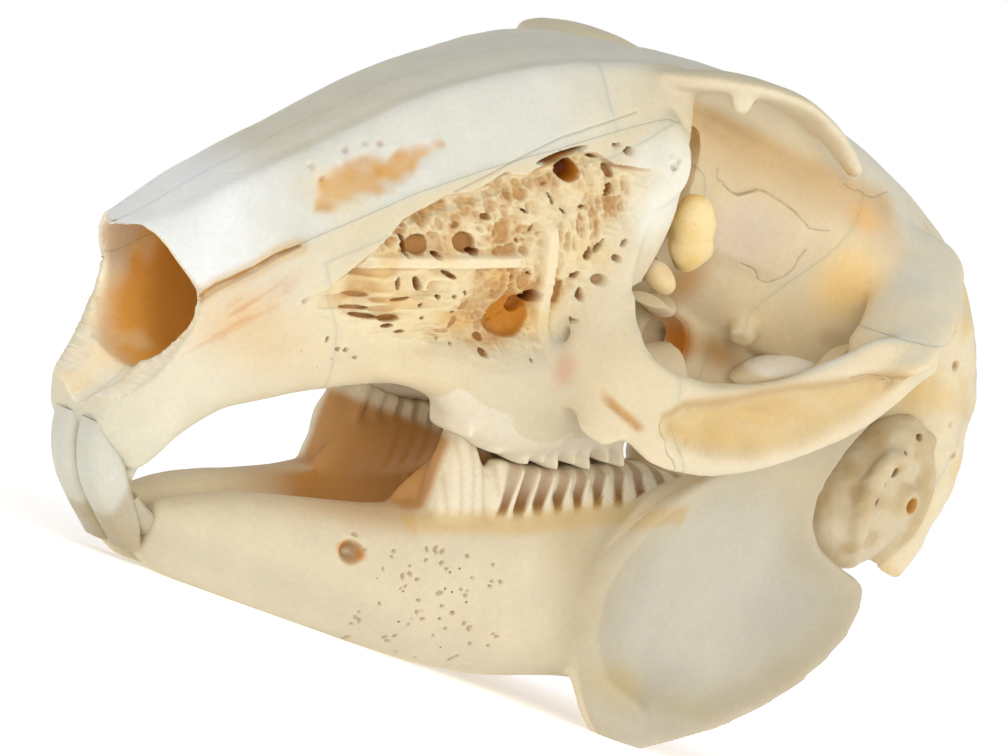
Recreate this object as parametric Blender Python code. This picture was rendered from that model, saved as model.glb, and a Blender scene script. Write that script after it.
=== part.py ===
"""Rabbit skull at rest on its lower jaw: bones and teeth as parted solids.

Lengths below are millimetres and the finished meshes are metres. The nose points
to -X, the left side of the skull is -Y and the floor is z = 0.
"""
from math import cos, pi, radians, sin

import bmesh
import bpy
import numpy as np
from mathutils import Matrix, Vector

MM = 0.001
SUTURE_GAP = 0.3
VOXEL = 0.5
CRANIUM_TRIANGLES = 5200
JAW_TRIANGLES = 1500

# Rostrum, from the tip of the nasal bones to the front wall of the orbit.
# x, crown z, shoulder half width and z, widest half width and z, gum half width and z, palate z
ROSTRUM = (
    (-43.4, 23.3, 1.4, 23.1, 2.2, 22.8, 1.5, 22.4, 22.3),
    (-42.0, 24.8, 2.5, 24.4, 3.8, 22.6, 3.0, 20.6, 20.4),
    (-41.0, 25.9, 3.2, 25.3, 4.9, 20.2, 4.0, 15.2, 14.4),
    (-40.0, 27.0, 3.6, 26.3, 5.5, 18.6, 4.3, 11.8, 11.6),
    (-37.6, 29.6, 4.1, 28.7, 6.2, 18.6, 4.4, 10.2, 10.0),
    (-35.0, 32.0, 4.5, 30.9, 6.9, 18.8, 4.2, 9.4, 9.6),
    (-32.6, 34.4, 4.7, 33.2, 7.5, 20.0, 4.1, 11.8, 11.8),
    (-30.0, 36.8, 4.9, 35.5, 8.1, 22.0, 4.4, 14.0, 14.0),
    (-24.0, 41.8, 5.4, 40.3, 9.2, 25.0, 5.0, 17.2, 17.6),
    (-17.0, 46.3, 6.2, 44.9, 10.8, 29.0, 7.0, 20.4, 20.6),
    (-10.0, 49.6, 7.6, 48.4, 12.2, 33.0, 9.0, 23.0, 23.0),
    (-4.5, 51.4, 8.8, 50.3, 13.2, 37.0, 9.6, 25.6, 25.0),
    (-1.6, 52.2, 9.0, 51.0, 12.6, 38.0, 8.6, 28.4, 27.0),
)
# Frontal, braincase and skull base.
# x, crown z, shoulder half width and z, widest half width and z, base half width and z, floor z
VAULT = (
    (-8.0, 50.2, 6.0, 49.4, 8.0, 46.0, 6.0, 34.0, 31.0),
    (-2.0, 51.9, 8.6, 50.7, 8.6, 46.6, 4.6, 33.0, 29.0),
    (4.0, 53.0, 8.8, 51.9, 7.4, 46.6, 3.8, 34.0, 29.5),
    (10.0, 53.4, 9.0, 52.0, 8.6, 45.0, 4.6, 34.6, 31.0),
    (16.0, 53.3, 8.6, 51.6, 11.6, 43.0, 6.6, 34.0, 32.4),
    (23.0, 52.6, 8.4, 50.3, 13.8, 41.4, 8.6, 33.0, 31.6),
    (30.0, 51.0, 8.2, 48.4, 14.2, 39.6, 9.6, 30.6, 29.6),
    (35.5, 48.6, 7.6, 46.2, 12.8, 37.0, 8.6, 29.0, 28.0),
    (39.6, 45.2, 6.4, 43.2, 10.4, 35.0, 6.6, 29.4, 28.4),
    (42.4, 41.6, 4.6, 40.2, 7.0, 35.0, 4.6, 31.0, 30.0),
)

# Zygomatic arch: x, y, z of its middle, half thickness and half height.
ARCH = (
    (-8.5, -14.6, 25.6, 1.8, 4.6),
    (-5.5, -17.4, 25.4, 1.5, 4.5),
    (-1.5, -19.2, 24.9, 1.1, 3.9),
    (4.0, -20.2, 25.9, 1.05, 4.1),
    (9.0, -20.4, 27.8, 1.05, 3.5),
    (14.0, -20.2, 30.6, 1.05, 3.8),
    (19.0, -19.7, 34.4, 1.0, 3.7),
    (23.0, -19.0, 37.0, 0.9, 2.4),
    (26.0, -18.2, 37.6, 0.6, 0.9),
)
# Rim of the shelf over the orbit: x, y, z of its middle, half width and half thickness.
ORBIT_SHELF = (
    (-3.2, -8.4, 50.6, 2.6, 1.0),
    (-0.6, -9.8, 51.6, 3.0, 0.9),
    (3.6, -10.6, 52.5, 3.2, 0.85),
    (8.0, -10.8, 52.5, 2.9, 0.8),
    (12.0, -11.4, 51.5, 2.0, 0.75),
    (15.6, -12.1, 49.5, 1.0, 0.6),
)
# Tooth-bearing part of the upper jaw: x, y, z of its middle, half width and half height.
UPPER_GUM = (
    (-19.0, -6.2, 22.0, 1.8, 1.8),
    (-14.5, -7.6, 22.4, 3.4, 3.0),
    (-9.0, -8.4, 22.8, 4.2, 4.0),
    (-3.0, -8.6, 23.6, 4.4, 4.4),
    (3.0, -8.6, 26.0, 3.9, 4.2),
    (8.5, -8.0, 29.0, 2.4, 3.0),
)
# Column from the front rim of the orbit down to the spine below it, and the sweep of that rim into the arch:
# x, y, z, half width and half thickness.
CHEEK_COLUMN = (
    (-5.0, -8.6, 47.6, 1.2, 0.8),
    (-4.5, -10.8, 45.4, 2.1, 1.0),
    (-4.2, -12.1, 42.0, 2.7, 1.1),
    (-4.5, -12.6, 38.6, 2.4, 1.2),
    (-5.2, -12.8, 35.4, 2.3, 1.3),
    (-5.9, -13.3, 32.4, 2.3, 1.3),
    (-6.0, -14.4, 29.2, 2.5, 1.3),
    (-5.7, -15.9, 26.0, 2.8, 1.2),
    (-6.3, -17.0, 22.9, 2.2, 0.9),
    (-7.4, -17.2, 21.2, 0.9, 0.6),
)
CHEEK_SWEEP = (
    (-5.6, -13.6, 33.0, 1.6, 1.0),
    (-5.6, -15.0, 30.4, 1.9, 1.1),
    (-4.8, -16.9, 27.8, 2.8, 1.15),
    (-2.4, -18.4, 26.2, 3.5, 1.15),
    (1.6, -19.5, 25.7, 3.8, 1.1),
    (6.0, -20.2, 26.9, 3.4, 1.05),
)
# Lower jaw bar: x, y, z of its middle, half thickness and half height.
JAW_BAR = (
    (-33.4, -1.9, 2.7, 1.5, 2.2),
    (-31.0, -2.3, 2.9, 1.9, 3.1),
    (-26.0, -3.0, 3.5, 2.6, 4.0),
    (-18.0, -4.6, 4.6, 3.2, 5.2),
    (-12.0, -6.2, 5.5, 3.9, 5.9),
    (-5.0, -7.8, 6.9, 4.1, 6.9),
    (2.0, -9.4, 9.2, 3.8, 7.5),
    (9.0, -11.4, 12.4, 2.8, 8.0),
    (15.0, -12.8, 16.6, 1.6, 7.0),
)
# Corners of the upright plate of the lower jaw, seen from the side, from the bar round the heel.
JAW_PLATE = (
    (5.0, 3.6), (8.8, -0.4), (12.0, -0.5), (18.6, 2.6), (24.8, 6.6), (29.2, 10.8), (31.2, 14.8),
    (29.8, 18.6), (24.6, 21.2), (24.0, 26.0), (26.4, 32.0), (26.6, 36.0), (20.4, 36.2), (17.0, 30.6),
    (12.0, 23.6), (6.0, 18.6), (2.4, 11.0),
)
# Front teeth: middle lines in x and z, half width, half depth and distance from the midline.
UPPER_INCISOR = ((-33.4, 18.4), (-36.2, 16.0), (-38.0, 12.6), (-38.4, 9.4), (-37.6, 6.4),
                 (-35.8, 3.9), (-33.2, 1.9))
LOWER_INCISOR = ((-23.0, 2.9), (-27.5, 3.0), (-30.8, 4.0), (-32.9, 5.6), (-34.0, 7.8))
PEG_TOOTH = ((-33.0, 15.4), (-34.9, 12.4), (-35.5, 9.0))
UPPER_SIZE = (1.45, 1.35)
LOWER_SIZE = (1.3, 1.2)
PEG_SIZE = (0.75, 0.7)
PEG_TIP_SIZE = (0.55, 0.5)
FRONT_TOOTH_Y = 1.75
PEG_Y = 1.6
# Cheek teeth: pitch along the jaw, half width and half length of one tooth.
UPPER_PITCH = 3.1
UPPER_TOOTH = (2.5, 1.5)
LOWER_PITCH = 3.3
LOWER_TOOTH = (2.2, 1.6)
RIB_WAVE = 0.10
RIB_NARROWING = 0.12
# Ear capsule and its neck, jaw hinge, and the box that trims the lower jaw at the floor.
BULLA_CENTRE = (31.0, -10.6, 25.2)
BULLA_RADII = (5.0, 4.4, 6.6)
BULLA_LEAN = 24
HINGE_CENTRE = (23.4, -14.2, 36.4)
HINGE_RADII = (4.2, 1.7, 1.4)
HINGE_LEAN = -14
TRIM = 60
# Direction that the front rim of the orbit faces, against which its thickness is measured.
FACE_AHEAD = (-0.67, -0.74, 0)
SMALL_VOXEL = 0.4
JAW_VOXEL = 0.45
BULLA_TRIANGLES = 360
SMALLEST_BONE_FACES = 30
# Sutures seen from the side, x and z.
NASAL_SUTURE = ((-56.0, 19.6), (-44.0, 20.2), (-38.4, 21.2), (-35.8, 23.4), (-31.2, 27.8), (-24.0, 33.9),
                (-18.5, 38.1), (-12.7, 42.0), (-7.7, 45.4), (-4.2, 47.6))
ORBIT_WALL = ((-4.2, 47.6), (-0.6, 46.2), (0.2, 38.0), (0.9, 32.0), (8.2, 33.2), (11.4, 30.0), (12.4, 20.0))
FACE_SUTURE = ((-21.4, 4.0), (-21.8, 16.0), (-27.0, 23.4), (-29.6, 26.6), (-23.2, 32.0), (-15.2, 38.0),
               (-8.6, 42.8), (-5.4, 45.8), (-4.2, 47.5))
CHEEK_FRONT = ((-2.4, 36.0), (-0.8, 24.6), (2.6, 21.4), (5.0, 14.0))
CHEEK_REAR = ((10.0, 37.2), (20.8, 38.4), (22.6, 38.8), (32.0, 42.0))
# Bones in pairs: x, z and y of a point on the right one.
PAIRED_BONES = (("nasal", -25.0, 41.0, 4.0), ("premaxilla", -34.0, 18.0, 7.0), ("maxilla", -14.0, 32.0, 11.5))
# The inner sutures stop short of the cheek arches, the outer ones go past them.
INNER_CUT = 14.5
CHEEK_FRONT_FROM = 14.3
CHEEK_REAR_FROM = 15.8
OUTER_CUT = 30.0
FRONTAL_SUTURE = ((-8.6, 44.6), (-9.6, 47.4), (-12.4, 60.0))
CORONAL_SUTURE = ((20.0, 62.0), (18.6, 48.0), (14.6, 38.0), (13.6, 20.0))
LAMBDOID_SUTURE = ((32.4, 62.0), (35.4, 46.0), (37.4, 38.0), (36.0, 30.0), (35.6, 26.6), (30.0, 26.4))


def clear_scene():
    for item in list(bpy.data.objects):
        bpy.data.objects.remove(item, do_unlink=True)


def link(name, bm):
    """Close the bmesh with outward faces and hang it in the scene in metres."""
    bmesh.ops.recalc_face_normals(bm, faces=bm.faces)
    bmesh.ops.scale(bm, vec=Vector((MM, MM, MM)), verts=bm.verts)
    mesh = bpy.data.meshes.new(name)
    bm.to_mesh(mesh)
    bm.free()
    item = bpy.data.objects.new(name, mesh)
    bpy.context.collection.objects.link(item)
    return item


def hermite(knots, values, where):
    """Smooth curve through the values, with the slopes of its neighbours."""
    knots = np.asarray(knots, float)
    values = np.asarray(values, float)
    slopes = np.gradient(values, knots, axis=0)
    where = np.clip(where, knots[0], knots[-1])
    cell = np.clip(np.searchsorted(knots, where) - 1, 0, len(knots) - 2)
    span = knots[cell + 1] - knots[cell]
    u = (where - knots[cell]) / span
    shape = (-1,) + (1,) * (values.ndim - 1)
    u = u.reshape(shape)
    span = span.reshape(shape)
    return ((2 * u**3 - 3 * u**2 + 1) * values[cell] + (u**3 - 2 * u**2 + u) * span * slopes[cell]
            + (3 * u**2 - 2 * u**3) * values[cell + 1] + (u**3 - u**2) * span * slopes[cell + 1])


def skin(rings):
    """Closed mesh over rings of points, with a fan at each end."""
    bm = bmesh.new()
    rows = [[bm.verts.new(point) for point in ring] for ring in rings]
    count = len(rows[0])
    for row, following in zip(rows, rows[1:]):
        for i in range(count):
            j = (i + 1) % count
            bm.faces.new((row[i], row[j], following[j], following[i]))
    for row, ring in ((rows[0], rings[0]), (rows[-1], rings[-1])):
        middle = bm.verts.new(np.mean(ring, axis=0))
        for i in range(count):
            bm.faces.new((row[i], row[(i + 1) % count], middle))
    return bm


def ribbed_hull(name, stations, steps=40, around=12):
    """Skull mass along X: each rib runs crown, shoulder, flank, gum, palate on both sides."""
    table = np.array(stations)
    xs = np.linspace(table[0, 0], table[-1, 0], steps)
    rows = hermite(table[:, 0], table[:, 1:], xs)
    rings = []
    for x, (crown, wide_s, z_s, wide_f, z_f, wide_g, z_g, floor) in zip(xs, rows):
        half = [(0, crown), (wide_s * 0.55, crown - (crown - z_s) * 0.25), (wide_s, z_s),
                (wide_f * 0.97, z_f + (z_s - z_f) * 0.4), (wide_f, z_f),
                (wide_g + (wide_f - wide_g) * 0.5, z_g + (z_f - z_g) * 0.3), (wide_g, z_g),
                (wide_g * 0.5, floor + (z_g - floor) * 0.3), (0, floor)]
        half = np.array(half)
        ring = np.vstack([half, half[-2:0:-1] * (-1, 1)])
        closed = np.vstack([ring[-2:], ring, ring[:3]])
        places = np.linspace(0, len(ring), 4 * around, endpoint=False)
        smooth = hermite(np.arange(-2, len(ring) + 3), closed, places)
        rings.append([(x, y, z) for y, z in smooth])
    return link(name, skin(rings))


def tube(name, path, sizes, steps=24, around=16, power=2.0, up=(0, 0, 1)):
    """Solid along a smooth path. Each size is half width across and half height upward."""
    path = np.array(path, float)
    sizes = np.array(sizes, float)
    reach = np.r_[0, np.cumsum(np.linalg.norm(np.diff(path, axis=0), axis=1))]
    where = np.linspace(0, reach[-1], steps)
    line = hermite(reach, path, where)
    size = hermite(reach, sizes, where)
    ahead = np.gradient(line, axis=0)
    ahead /= np.linalg.norm(ahead, axis=1)[:, None]
    side = np.cross(ahead, np.array(up, float))
    side /= np.linalg.norm(side, axis=1)[:, None]
    top = np.cross(side, ahead)
    turn = np.linspace(0, 2 * pi, around, endpoint=False)
    across = np.sign(np.cos(turn)) * np.abs(np.cos(turn)) ** (2 / power)
    raised = np.sign(np.sin(turn)) * np.abs(np.sin(turn)) ** (2 / power)
    rings = [p + (across * w)[:, None] * a + (raised * h)[:, None] * b
             for p, (w, h), a, b in zip(line, size, side, top)]
    return link(name, skin(rings))


def egg(name, centre, radii, turn_y=0.0, detail=3):
    """Ellipsoid turned about the Y axis by turn_y degrees."""
    bm = bmesh.new()
    bmesh.ops.create_icosphere(bm, subdivisions=detail, radius=1.0)
    c, s = cos(radians(turn_y)), sin(radians(turn_y))
    for v in bm.verts:
        x, y, z = v.co.x * radii[0], v.co.y * radii[1], v.co.z * radii[2]
        x, z = x * c + z * s, -x * s + z * c
        v.co = (x + centre[0], y + centre[1], z + centre[2])
    return link(name, bm)


def sheet(name, outline, y_of, thick_of, rows=5):
    """Plate in the XZ plane: nested copies of the outline give it thickness and a bent face.

    The outline shrinks to its middle in rings, and at every point the plate stands at
    y_of(x, z, ring) with half thickness thick_of(ring).
    """
    rim = np.array(outline, float)
    middle = rim.mean(axis=0)
    bm = bmesh.new()
    faces = []
    for side in (-1, 1):
        rings = []
        for k in range(rows):
            share = k / rows
            pts = rim + (middle - rim) * share
            rings.append([bm.verts.new((x, y_of(x, z, share) + side * thick_of(share), z)) for x, z in pts])
        hub = bm.verts.new((middle[0], y_of(middle[0], middle[1], 1) + side * thick_of(1), middle[1]))
        faces.append((rings, hub))
    count = len(rim)
    for rings, hub in faces:
        for a, b in zip(rings, rings[1:]):
            for i in range(count):
                j = (i + 1) % count
                bm.faces.new((a[i], a[j], b[j], b[i]))
        for i in range(count):
            bm.faces.new((rings[-1][i], rings[-1][(i + 1) % count], hub))
    near, far = faces[0][0][0], faces[1][0][0]
    for i in range(count):
        j = (i + 1) % count
        bm.faces.new((near[i], near[j], far[j], far[i]))
    return link(name, bm)


def rounded_outline(points, count):
    """Even points on the closed smooth curve through the corner points."""
    pts = np.array(points, float)
    closed = np.vstack([pts[-2:], pts, pts[:3]])
    return hermite(np.arange(-2, len(pts) + 3), closed, np.linspace(0, len(pts), count, endpoint=False))


def mirrored(item):
    """Copy of a left piece on the right side."""
    bm = bmesh.new()
    bm.from_mesh(item.data)
    bmesh.ops.scale(bm, vec=Vector((1, -1, 1)), verts=bm.verts)
    bmesh.ops.recalc_face_normals(bm, faces=bm.faces)
    mesh = bpy.data.meshes.new(item.name + "_right")
    bm.to_mesh(mesh)
    bm.free()
    twin = bpy.data.objects.new(item.name + "_right", mesh)
    bpy.context.collection.objects.link(twin)
    return twin


def both(items):
    return list(items) + [mirrored(item) for item in items]


def settle(item):
    """Bake the modifiers of an object into its mesh."""
    view = bpy.context.evaluated_depsgraph_get()
    baked = bpy.data.meshes.new_from_object(item.evaluated_get(view))
    old = item.data
    item.modifiers.clear()
    item.data = baked
    bpy.data.meshes.remove(old)
    return item


def drop(items):
    for item in items:
        bpy.data.objects.remove(item, do_unlink=True)


def gather(name, items):
    """All the items as one mesh of overlapping shells."""
    bm = bmesh.new()
    for item in items:
        bm.from_mesh(item.data)
    mesh = bpy.data.meshes.new(name)
    bm.to_mesh(mesh)
    bm.free()
    drop(items)
    whole = bpy.data.objects.new(name, mesh)
    bpy.context.collection.objects.link(whole)
    return whole


def fuse(name, items, triangles, voxel=VOXEL, smooth=2):
    """Masses grown into one smooth closed bone and thinned to the triangle budget."""
    whole = gather(name, items)
    grown = whole.modifiers.new("grown", "REMESH")
    grown.mode = "VOXEL"
    grown.voxel_size = voxel * MM
    if smooth:
        soften = whole.modifiers.new("soften", "SMOOTH")
        soften.factor = 0.5
        soften.iterations = smooth
    settle(whole)
    whole.data.calc_loop_triangles()
    share = min(1.0, triangles / len(whole.data.loop_triangles))
    thin = whole.modifiers.new("thin", "DECIMATE")
    thin.ratio = share
    thin.use_collapse_triangulate = True
    return settle(whole)


def carve(item, tools, solver="MANIFOLD", keep=False):
    """Cut every tool from the item."""
    group = bpy.data.collections.new("tools")
    bpy.context.scene.collection.children.link(group)
    for tool in tools:
        group.objects.link(tool)
    cut = item.modifiers.new("cut", "BOOLEAN")
    cut.operation = "DIFFERENCE"
    cut.solver = solver
    cut.operand_type = "COLLECTION"
    cut.collection = group
    settle(item)
    bpy.data.collections.remove(group)
    if not keep:
        drop(tools)
    return item


def loose_shells(item):
    """The item's bmesh and its separate shells, as sets of faces that share edges."""
    bm = bmesh.new()
    bm.from_mesh(item.data)
    left = set(bm.faces)
    shells = []
    while left:
        stack = [left.pop()]
        shell = set(stack)
        while stack:
            face = stack.pop()
            for edge in face.edges:
                for other in edge.link_faces if len(edge.link_faces) == 2 else ():
                    if other in left:
                        left.discard(other)
                        shell.add(other)
                        stack.append(other)
        shells.append(shell)
    return bm, shells


def keep_shell(bm, kept):
    """Delete every face outside the kept shell, with the points only they used."""
    spare = [face for face in bm.faces if face not in kept]
    bmesh.ops.delete(bm, geom=spare, context="FACES")


def largest(item):
    """Keep only the largest closed surface."""
    bm, shells = loose_shells(item)
    keep_shell(bm, max(shells, key=lambda shell: sum(face.calc_area() for face in shell)))
    bm.to_mesh(item.data)
    bm.free()
    return item


def curtain(name, line, y_from, y_to):
    """Thin upright cutter 0.3 mm thick that follows a line in XZ from one side to the other."""
    pts = np.array(line, float)
    ahead = np.gradient(pts, axis=0)
    ahead /= np.linalg.norm(ahead, axis=1)[:, None]
    normal = np.stack([-ahead[:, 1], ahead[:, 0]], axis=1) * SUTURE_GAP / 2
    rings = []
    for p, n in zip(pts, normal):
        ring = []
        for y, side in ((y_from, 1), (y_to, 1), (y_to, -1), (y_from, -1)):
            ring.append((p[0] + n[0] * side, y, p[1] + n[1] * side))
        rings.append(ring)
    return link(name, skin(rings))


def block(name, low, high):
    bm = bmesh.new()
    bmesh.ops.create_cube(bm, size=1.0)
    for v in bm.verts:
        v.co = [low[i] + (v.co[i] + 0.5) * (high[i] - low[i]) for i in range(3)]
    return link(name, bm)


def along(table, name, steps=26, around=18, power=2.3, up=(0, 0, 1)):
    rows = np.array(table)
    return tube(name, rows[:, :3], rows[:, 3:], steps, around, power, up)


def jaw_plate():
    """Upright plate of the lower jaw: sunk in its middle, its rim flared outward low down."""
    rim = rounded_outline(JAW_PLATE, 64)

    def stand(x, z, share):
        low = min(1.0, max(0.0, (24.0 - z) / 20.0))
        rear = min(1.0, max(0.0, (x - 2.0) / 8.0))
        return -13.0 - 2.6 * low * rear * (1 - share) ** 2 - 0.5 * (1 - low)

    return sheet("jaw_plate", rim, stand, lambda share: 0.62 + 0.5 * (1 - share) ** 3, rows=7)


def cheek_teeth(name, first_x, count, pitch, y_of, base_of, tip_of, size):
    """Ribbed columns side by side; size is the half width and half length of one."""
    half_wide, half_long = size
    teeth = []
    for k in range(count):
        x = first_x + pitch * (k + 0.5)
        rings = []
        for t in np.linspace(0, 1, 5):
            z = base_of(x) + (tip_of(x) - base_of(x)) * t
            ring = []
            for turn in np.linspace(0, 2 * pi, 16, endpoint=False):
                rib = 1 - RIB_NARROWING * (1 - abs(cos(turn)) ** 0.5)
                wave = 1 + RIB_WAVE * cos(4 * turn)
                across = half_wide * sin(turn) * rib * wave
                ring.append((x + half_long * cos(turn) * wave, y_of(x) + across, z))
            rings.append(ring)
        teeth.append(link("%s_%d" % (name, k), skin(rings)))
    return teeth


def bite_line(x):
    """Height of the biting edge of the cheek teeth above the floor."""
    return float(np.interp(x, (-14, -8, -4, 0, 8), (18.6, 18.0, 17.9, 18.8, 21.8)))


def cranium_masses():
    left = [
        along(ARCH, "arch"),
        along(ORBIT_SHELF, "shelf"),
        along(UPPER_GUM, "gum"),
        along(CHEEK_COLUMN, "column", power=2.2, up=FACE_AHEAD),
        along(CHEEK_SWEEP, "sweep", power=2.2, up=FACE_AHEAD),
        tube("squamosal",
             [(26.2, -11.2, 44.0), (24.6, -14.5, 42.8), (23.0, -17.3, 40.4), (21.8, -18.9, 37.6)],
             [(4.2, 3.2), (3.6, 2.5), (3.1, 1.6), (2.5, 1.0)], 12, 16),
        egg("lacrimal", (1.2, -9.8, 40.2), (2.2, 2.0, 3.2)),
        egg("lacrimal_low", (0.4, -10.4, 35.4), (1.8, 1.8, 1.5)),
        tube("pterygoid", [(4.0, -4.0, 29.0), (12.0, -4.4, 29.0), (20.0, -5.2, 30.0)],
             [(1.0, 4.0), (0.8, 5.2), (0.8, 3.0)], 10, 12),
        tube("mastoid", [(32.0, -11.4, 36.0), (35.2, -12.2, 31.4), (36.8, -11.8, 25.0), (36.4, -10.6, 19.0)],
             [(3.4, 3.4), (3.2, 3.2), (2.1, 2.5), (0.9, 1.2)], 12, 14, up=(1, 0, 0)),
        tube("nuchal", [(31.0, -9.4, 45.0), (35.2, -10.9, 40.0), (38.8, -11.8, 32.4)],
             [(1.6, 1.6), (1.5, 1.5), (1.5, 1.6)], 12, 12, up=(1, 0, 0)),
        egg("condyle", (42.4, -4.4, 29.6), (2.6, 2.2, 3.4)),
    ]
    left += cheek_teeth("upper_tooth", -13.6, 6, UPPER_PITCH, lambda x: -8.6 + 0.03 * x,
                        lambda x: bite_line(x) + 4.6, lambda x: bite_line(x) + 0.15, UPPER_TOOTH)
    return both(left) + [
        ribbed_hull("rostrum", ROSTRUM),
        ribbed_hull("vault", VAULT),
        tube("base", [(2.0, 0, 29.5), (14.0, 0, 31.0), (26.0, 0, 30.0), (42.0, 0, 29.0)],
             [(2.4, 2.0), (2.8, 1.8), (4.6, 2.0), (3.6, 1.8)], 12, 14),
        tube("protuberance", [(36.0, 0, 47.0), (41.0, 0, 44.6), (44.4, 0, 41.4)],
             [(4.4, 1.8), (3.6, 1.8), (2.4, 1.4)], 10, 14),
    ]


def bulla_shape(name, extra):
    """Ear capsule, swollen by extra when it cuts its own socket."""
    body = egg(name, BULLA_CENTRE, [radius + extra for radius in BULLA_RADII], turn_y=BULLA_LEAN)
    neck = tube(name + "_neck", [(31.5, -11.6, 27.0), (33.4, -13.6, 31.0), (34.2, -14.4, 33.4)],
                [(2.6 + extra, 2.8 + extra), (2.1 + extra, 2.3 + extra), (1.7 + extra, 1.9 + extra)],
                10, 14, up=(1, 0, 0))
    return [body, neck]


def incisor(name, line, size, extra=0.0, tip=0.45):
    """Curved chisel of one width that thins to its cutting edge."""
    half_wide, half_deep = size
    path = [(x, -FRONT_TOOTH_Y, z) for x, z in line]
    depths = [half_deep + extra] * (len(line) - 2) + [half_deep * 0.8 + extra, half_deep * tip + extra]
    sizes = [(half_wide + extra, d) for d in depths]
    return tube(name, path, sizes, 13, 12, power=3.2)


def tooth_sockets(extra):
    """Upper incisor and peg tooth, swollen by extra when they cut their own sockets."""
    upper = incisor("upper", UPPER_INCISOR, UPPER_SIZE, extra)
    sizes = [[half + extra for half in size] for size in (PEG_SIZE, PEG_SIZE, PEG_TIP_SIZE)]
    peg = tube("peg", [(x, -PEG_Y, z) for x, z in PEG_TOOTH], sizes, 10, 12)
    return upper, peg


def knuckle(name, extra):
    """Long narrow hinge of the lower jaw, swollen by extra when it cuts its own socket."""
    return egg(name, HINGE_CENTRE, [radius + extra for radius in HINGE_RADII], turn_y=HINGE_LEAN)


def jaw_half():
    """Left lower jaw with its cheek teeth, knuckle and chin."""
    pieces = [along(JAW_BAR, "bar", power=2.5), jaw_plate(), knuckle("knuckle", 0.0)]
    pieces += cheek_teeth("lower_tooth", -10.6, 5, LOWER_PITCH, lambda x: -7.9 - 0.1 * (x + 9),
                          lambda x: 9.0 + 0.35 * (x + 9), lambda x: bite_line(x) - 0.25, LOWER_TOOTH)
    jaw = fuse("mandible", pieces, JAW_TRIANGLES, voxel=JAW_VOXEL)
    below_floor = block("floor", (-TRIM, -TRIM, -TRIM), (TRIM, TRIM, 0.0))
    right_half = block("middle", (-TRIM, -SUTURE_GAP / 2, -TRIM), (TRIM, TRIM, TRIM))
    root = incisor("root", LOWER_INCISOR, LOWER_SIZE, SUTURE_GAP)
    bite = incisor("bite", UPPER_INCISOR, UPPER_SIZE, SUTURE_GAP)
    for tool in (below_floor, right_half, root, bite):
        carve(jaw, [tool])
    return largest(jaw)


def dense(line, count=24):
    pts = np.array(line, float)
    reach = np.r_[0, np.cumsum(np.linalg.norm(np.diff(pts, axis=0), axis=1))]
    where = np.linspace(0, reach[-1], count)
    return [(float(np.interp(w, reach, pts[:, 0])), float(np.interp(w, reach, pts[:, 1]))) for w in where]


def named_piece(item, name, seed):
    """The shell of the item that lies nearest to the seed point becomes its own object."""
    bm, shells = loose_shells(item)
    point = Vector([c * MM for c in seed])
    sized = [shell for shell in shells if len(shell) > SMALLEST_BONE_FACES]
    keep_shell(bm, min(sized, key=lambda shell: min((f.calc_center_median() - point).length for f in shell)))
    mesh = bpy.data.meshes.new(name)
    bm.to_mesh(mesh)
    bm.free()
    piece = bpy.data.objects.new(name, mesh)
    bpy.context.collection.objects.link(piece)
    return piece


def part_cranium(whole):
    """Cut the grown cranium along its sutures and name the bones."""
    tools = [
        curtain("nasal_suture", dense(NASAL_SUTURE, 11) + dense(ORBIT_WALL, 9)[1:], -INNER_CUT, INNER_CUT),
        curtain("frontal_suture", dense(FRONTAL_SUTURE, 4), -INNER_CUT, INNER_CUT),
        curtain("coronal_suture", dense(CORONAL_SUTURE, 6), -INNER_CUT, INNER_CUT),
        curtain("lambdoid_suture", dense(LAMBDOID_SUTURE, 8), -OUTER_CUT, OUTER_CUT),
        curtain("face_suture", dense(FACE_SUTURE, 11), -OUTER_CUT, OUTER_CUT),
    ]
    for side in (-1, 1):
        tools.append(curtain("cheek_front", dense(CHEEK_FRONT, 5), side * CHEEK_FRONT_FROM, side * OUTER_CUT))
        tools.append(curtain("cheek_rear", dense(CHEEK_REAR, 6), side * CHEEK_REAR_FROM, side * OUTER_CUT))
    for tool in tools:
        carve(whole, [tool])
    bones = [
        named_piece(whole, "frontal", (4.0, 0.0, 53.0)),
        named_piece(whole, "braincase", (26.0, 0.0, 52.4)),
        named_piece(whole, "occipital", (42.0, 0.0, 43.0)),
        named_piece(whole, "zygomatic_left", (8.0, -21.0, 27.0)),
        named_piece(whole, "zygomatic_right", (8.0, 21.0, 27.0)),
    ]
    for bone, depth, height, half in PAIRED_BONES:
        pair = named_piece(whole, bone, (depth, half, height))
        slit = SUTURE_GAP / 2
        carve(pair, [block("midline", (-TRIM, -slit, -TRIM), (TRIM, slit, TRIM))])
        bones.append(named_piece(pair, bone + "_left", (depth, -half, height)))
        bones.append(named_piece(pair, bone + "_right", (depth, half, height)))
        drop([pair])
    drop([whole])
    return bones


def material(name, color, roughness):
    made = bpy.data.materials.new(name)
    made.use_nodes = True
    shader = made.node_tree.nodes["Principled BSDF"]
    shader.inputs["Base Color"].default_value = (*color, 1.0)
    shader.inputs["Roughness"].default_value = roughness
    return made


def finish(nodes):
    """Centre the skull over the origin, shade it smooth and give every bone its material."""
    points = [v.co for item in nodes for v in item.data.vertices]
    middle = Vector([(min(p[i] for p in points) + max(p[i] for p in points)) / 2 for i in (0, 1)] + [0.0])
    for item in nodes:
        item.data.transform(Matrix.Translation(-middle))
        tooth = "incisor" in item.name
        color = (0.80, 0.80, 0.74) if tooth else (0.80, 0.71, 0.54)
        item.data.materials.clear()
        item.data.materials.append(material(item.name + "_surface", color, 0.3 if tooth else 0.5))
        for face in item.data.polygons:
            face.use_smooth = True


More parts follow.
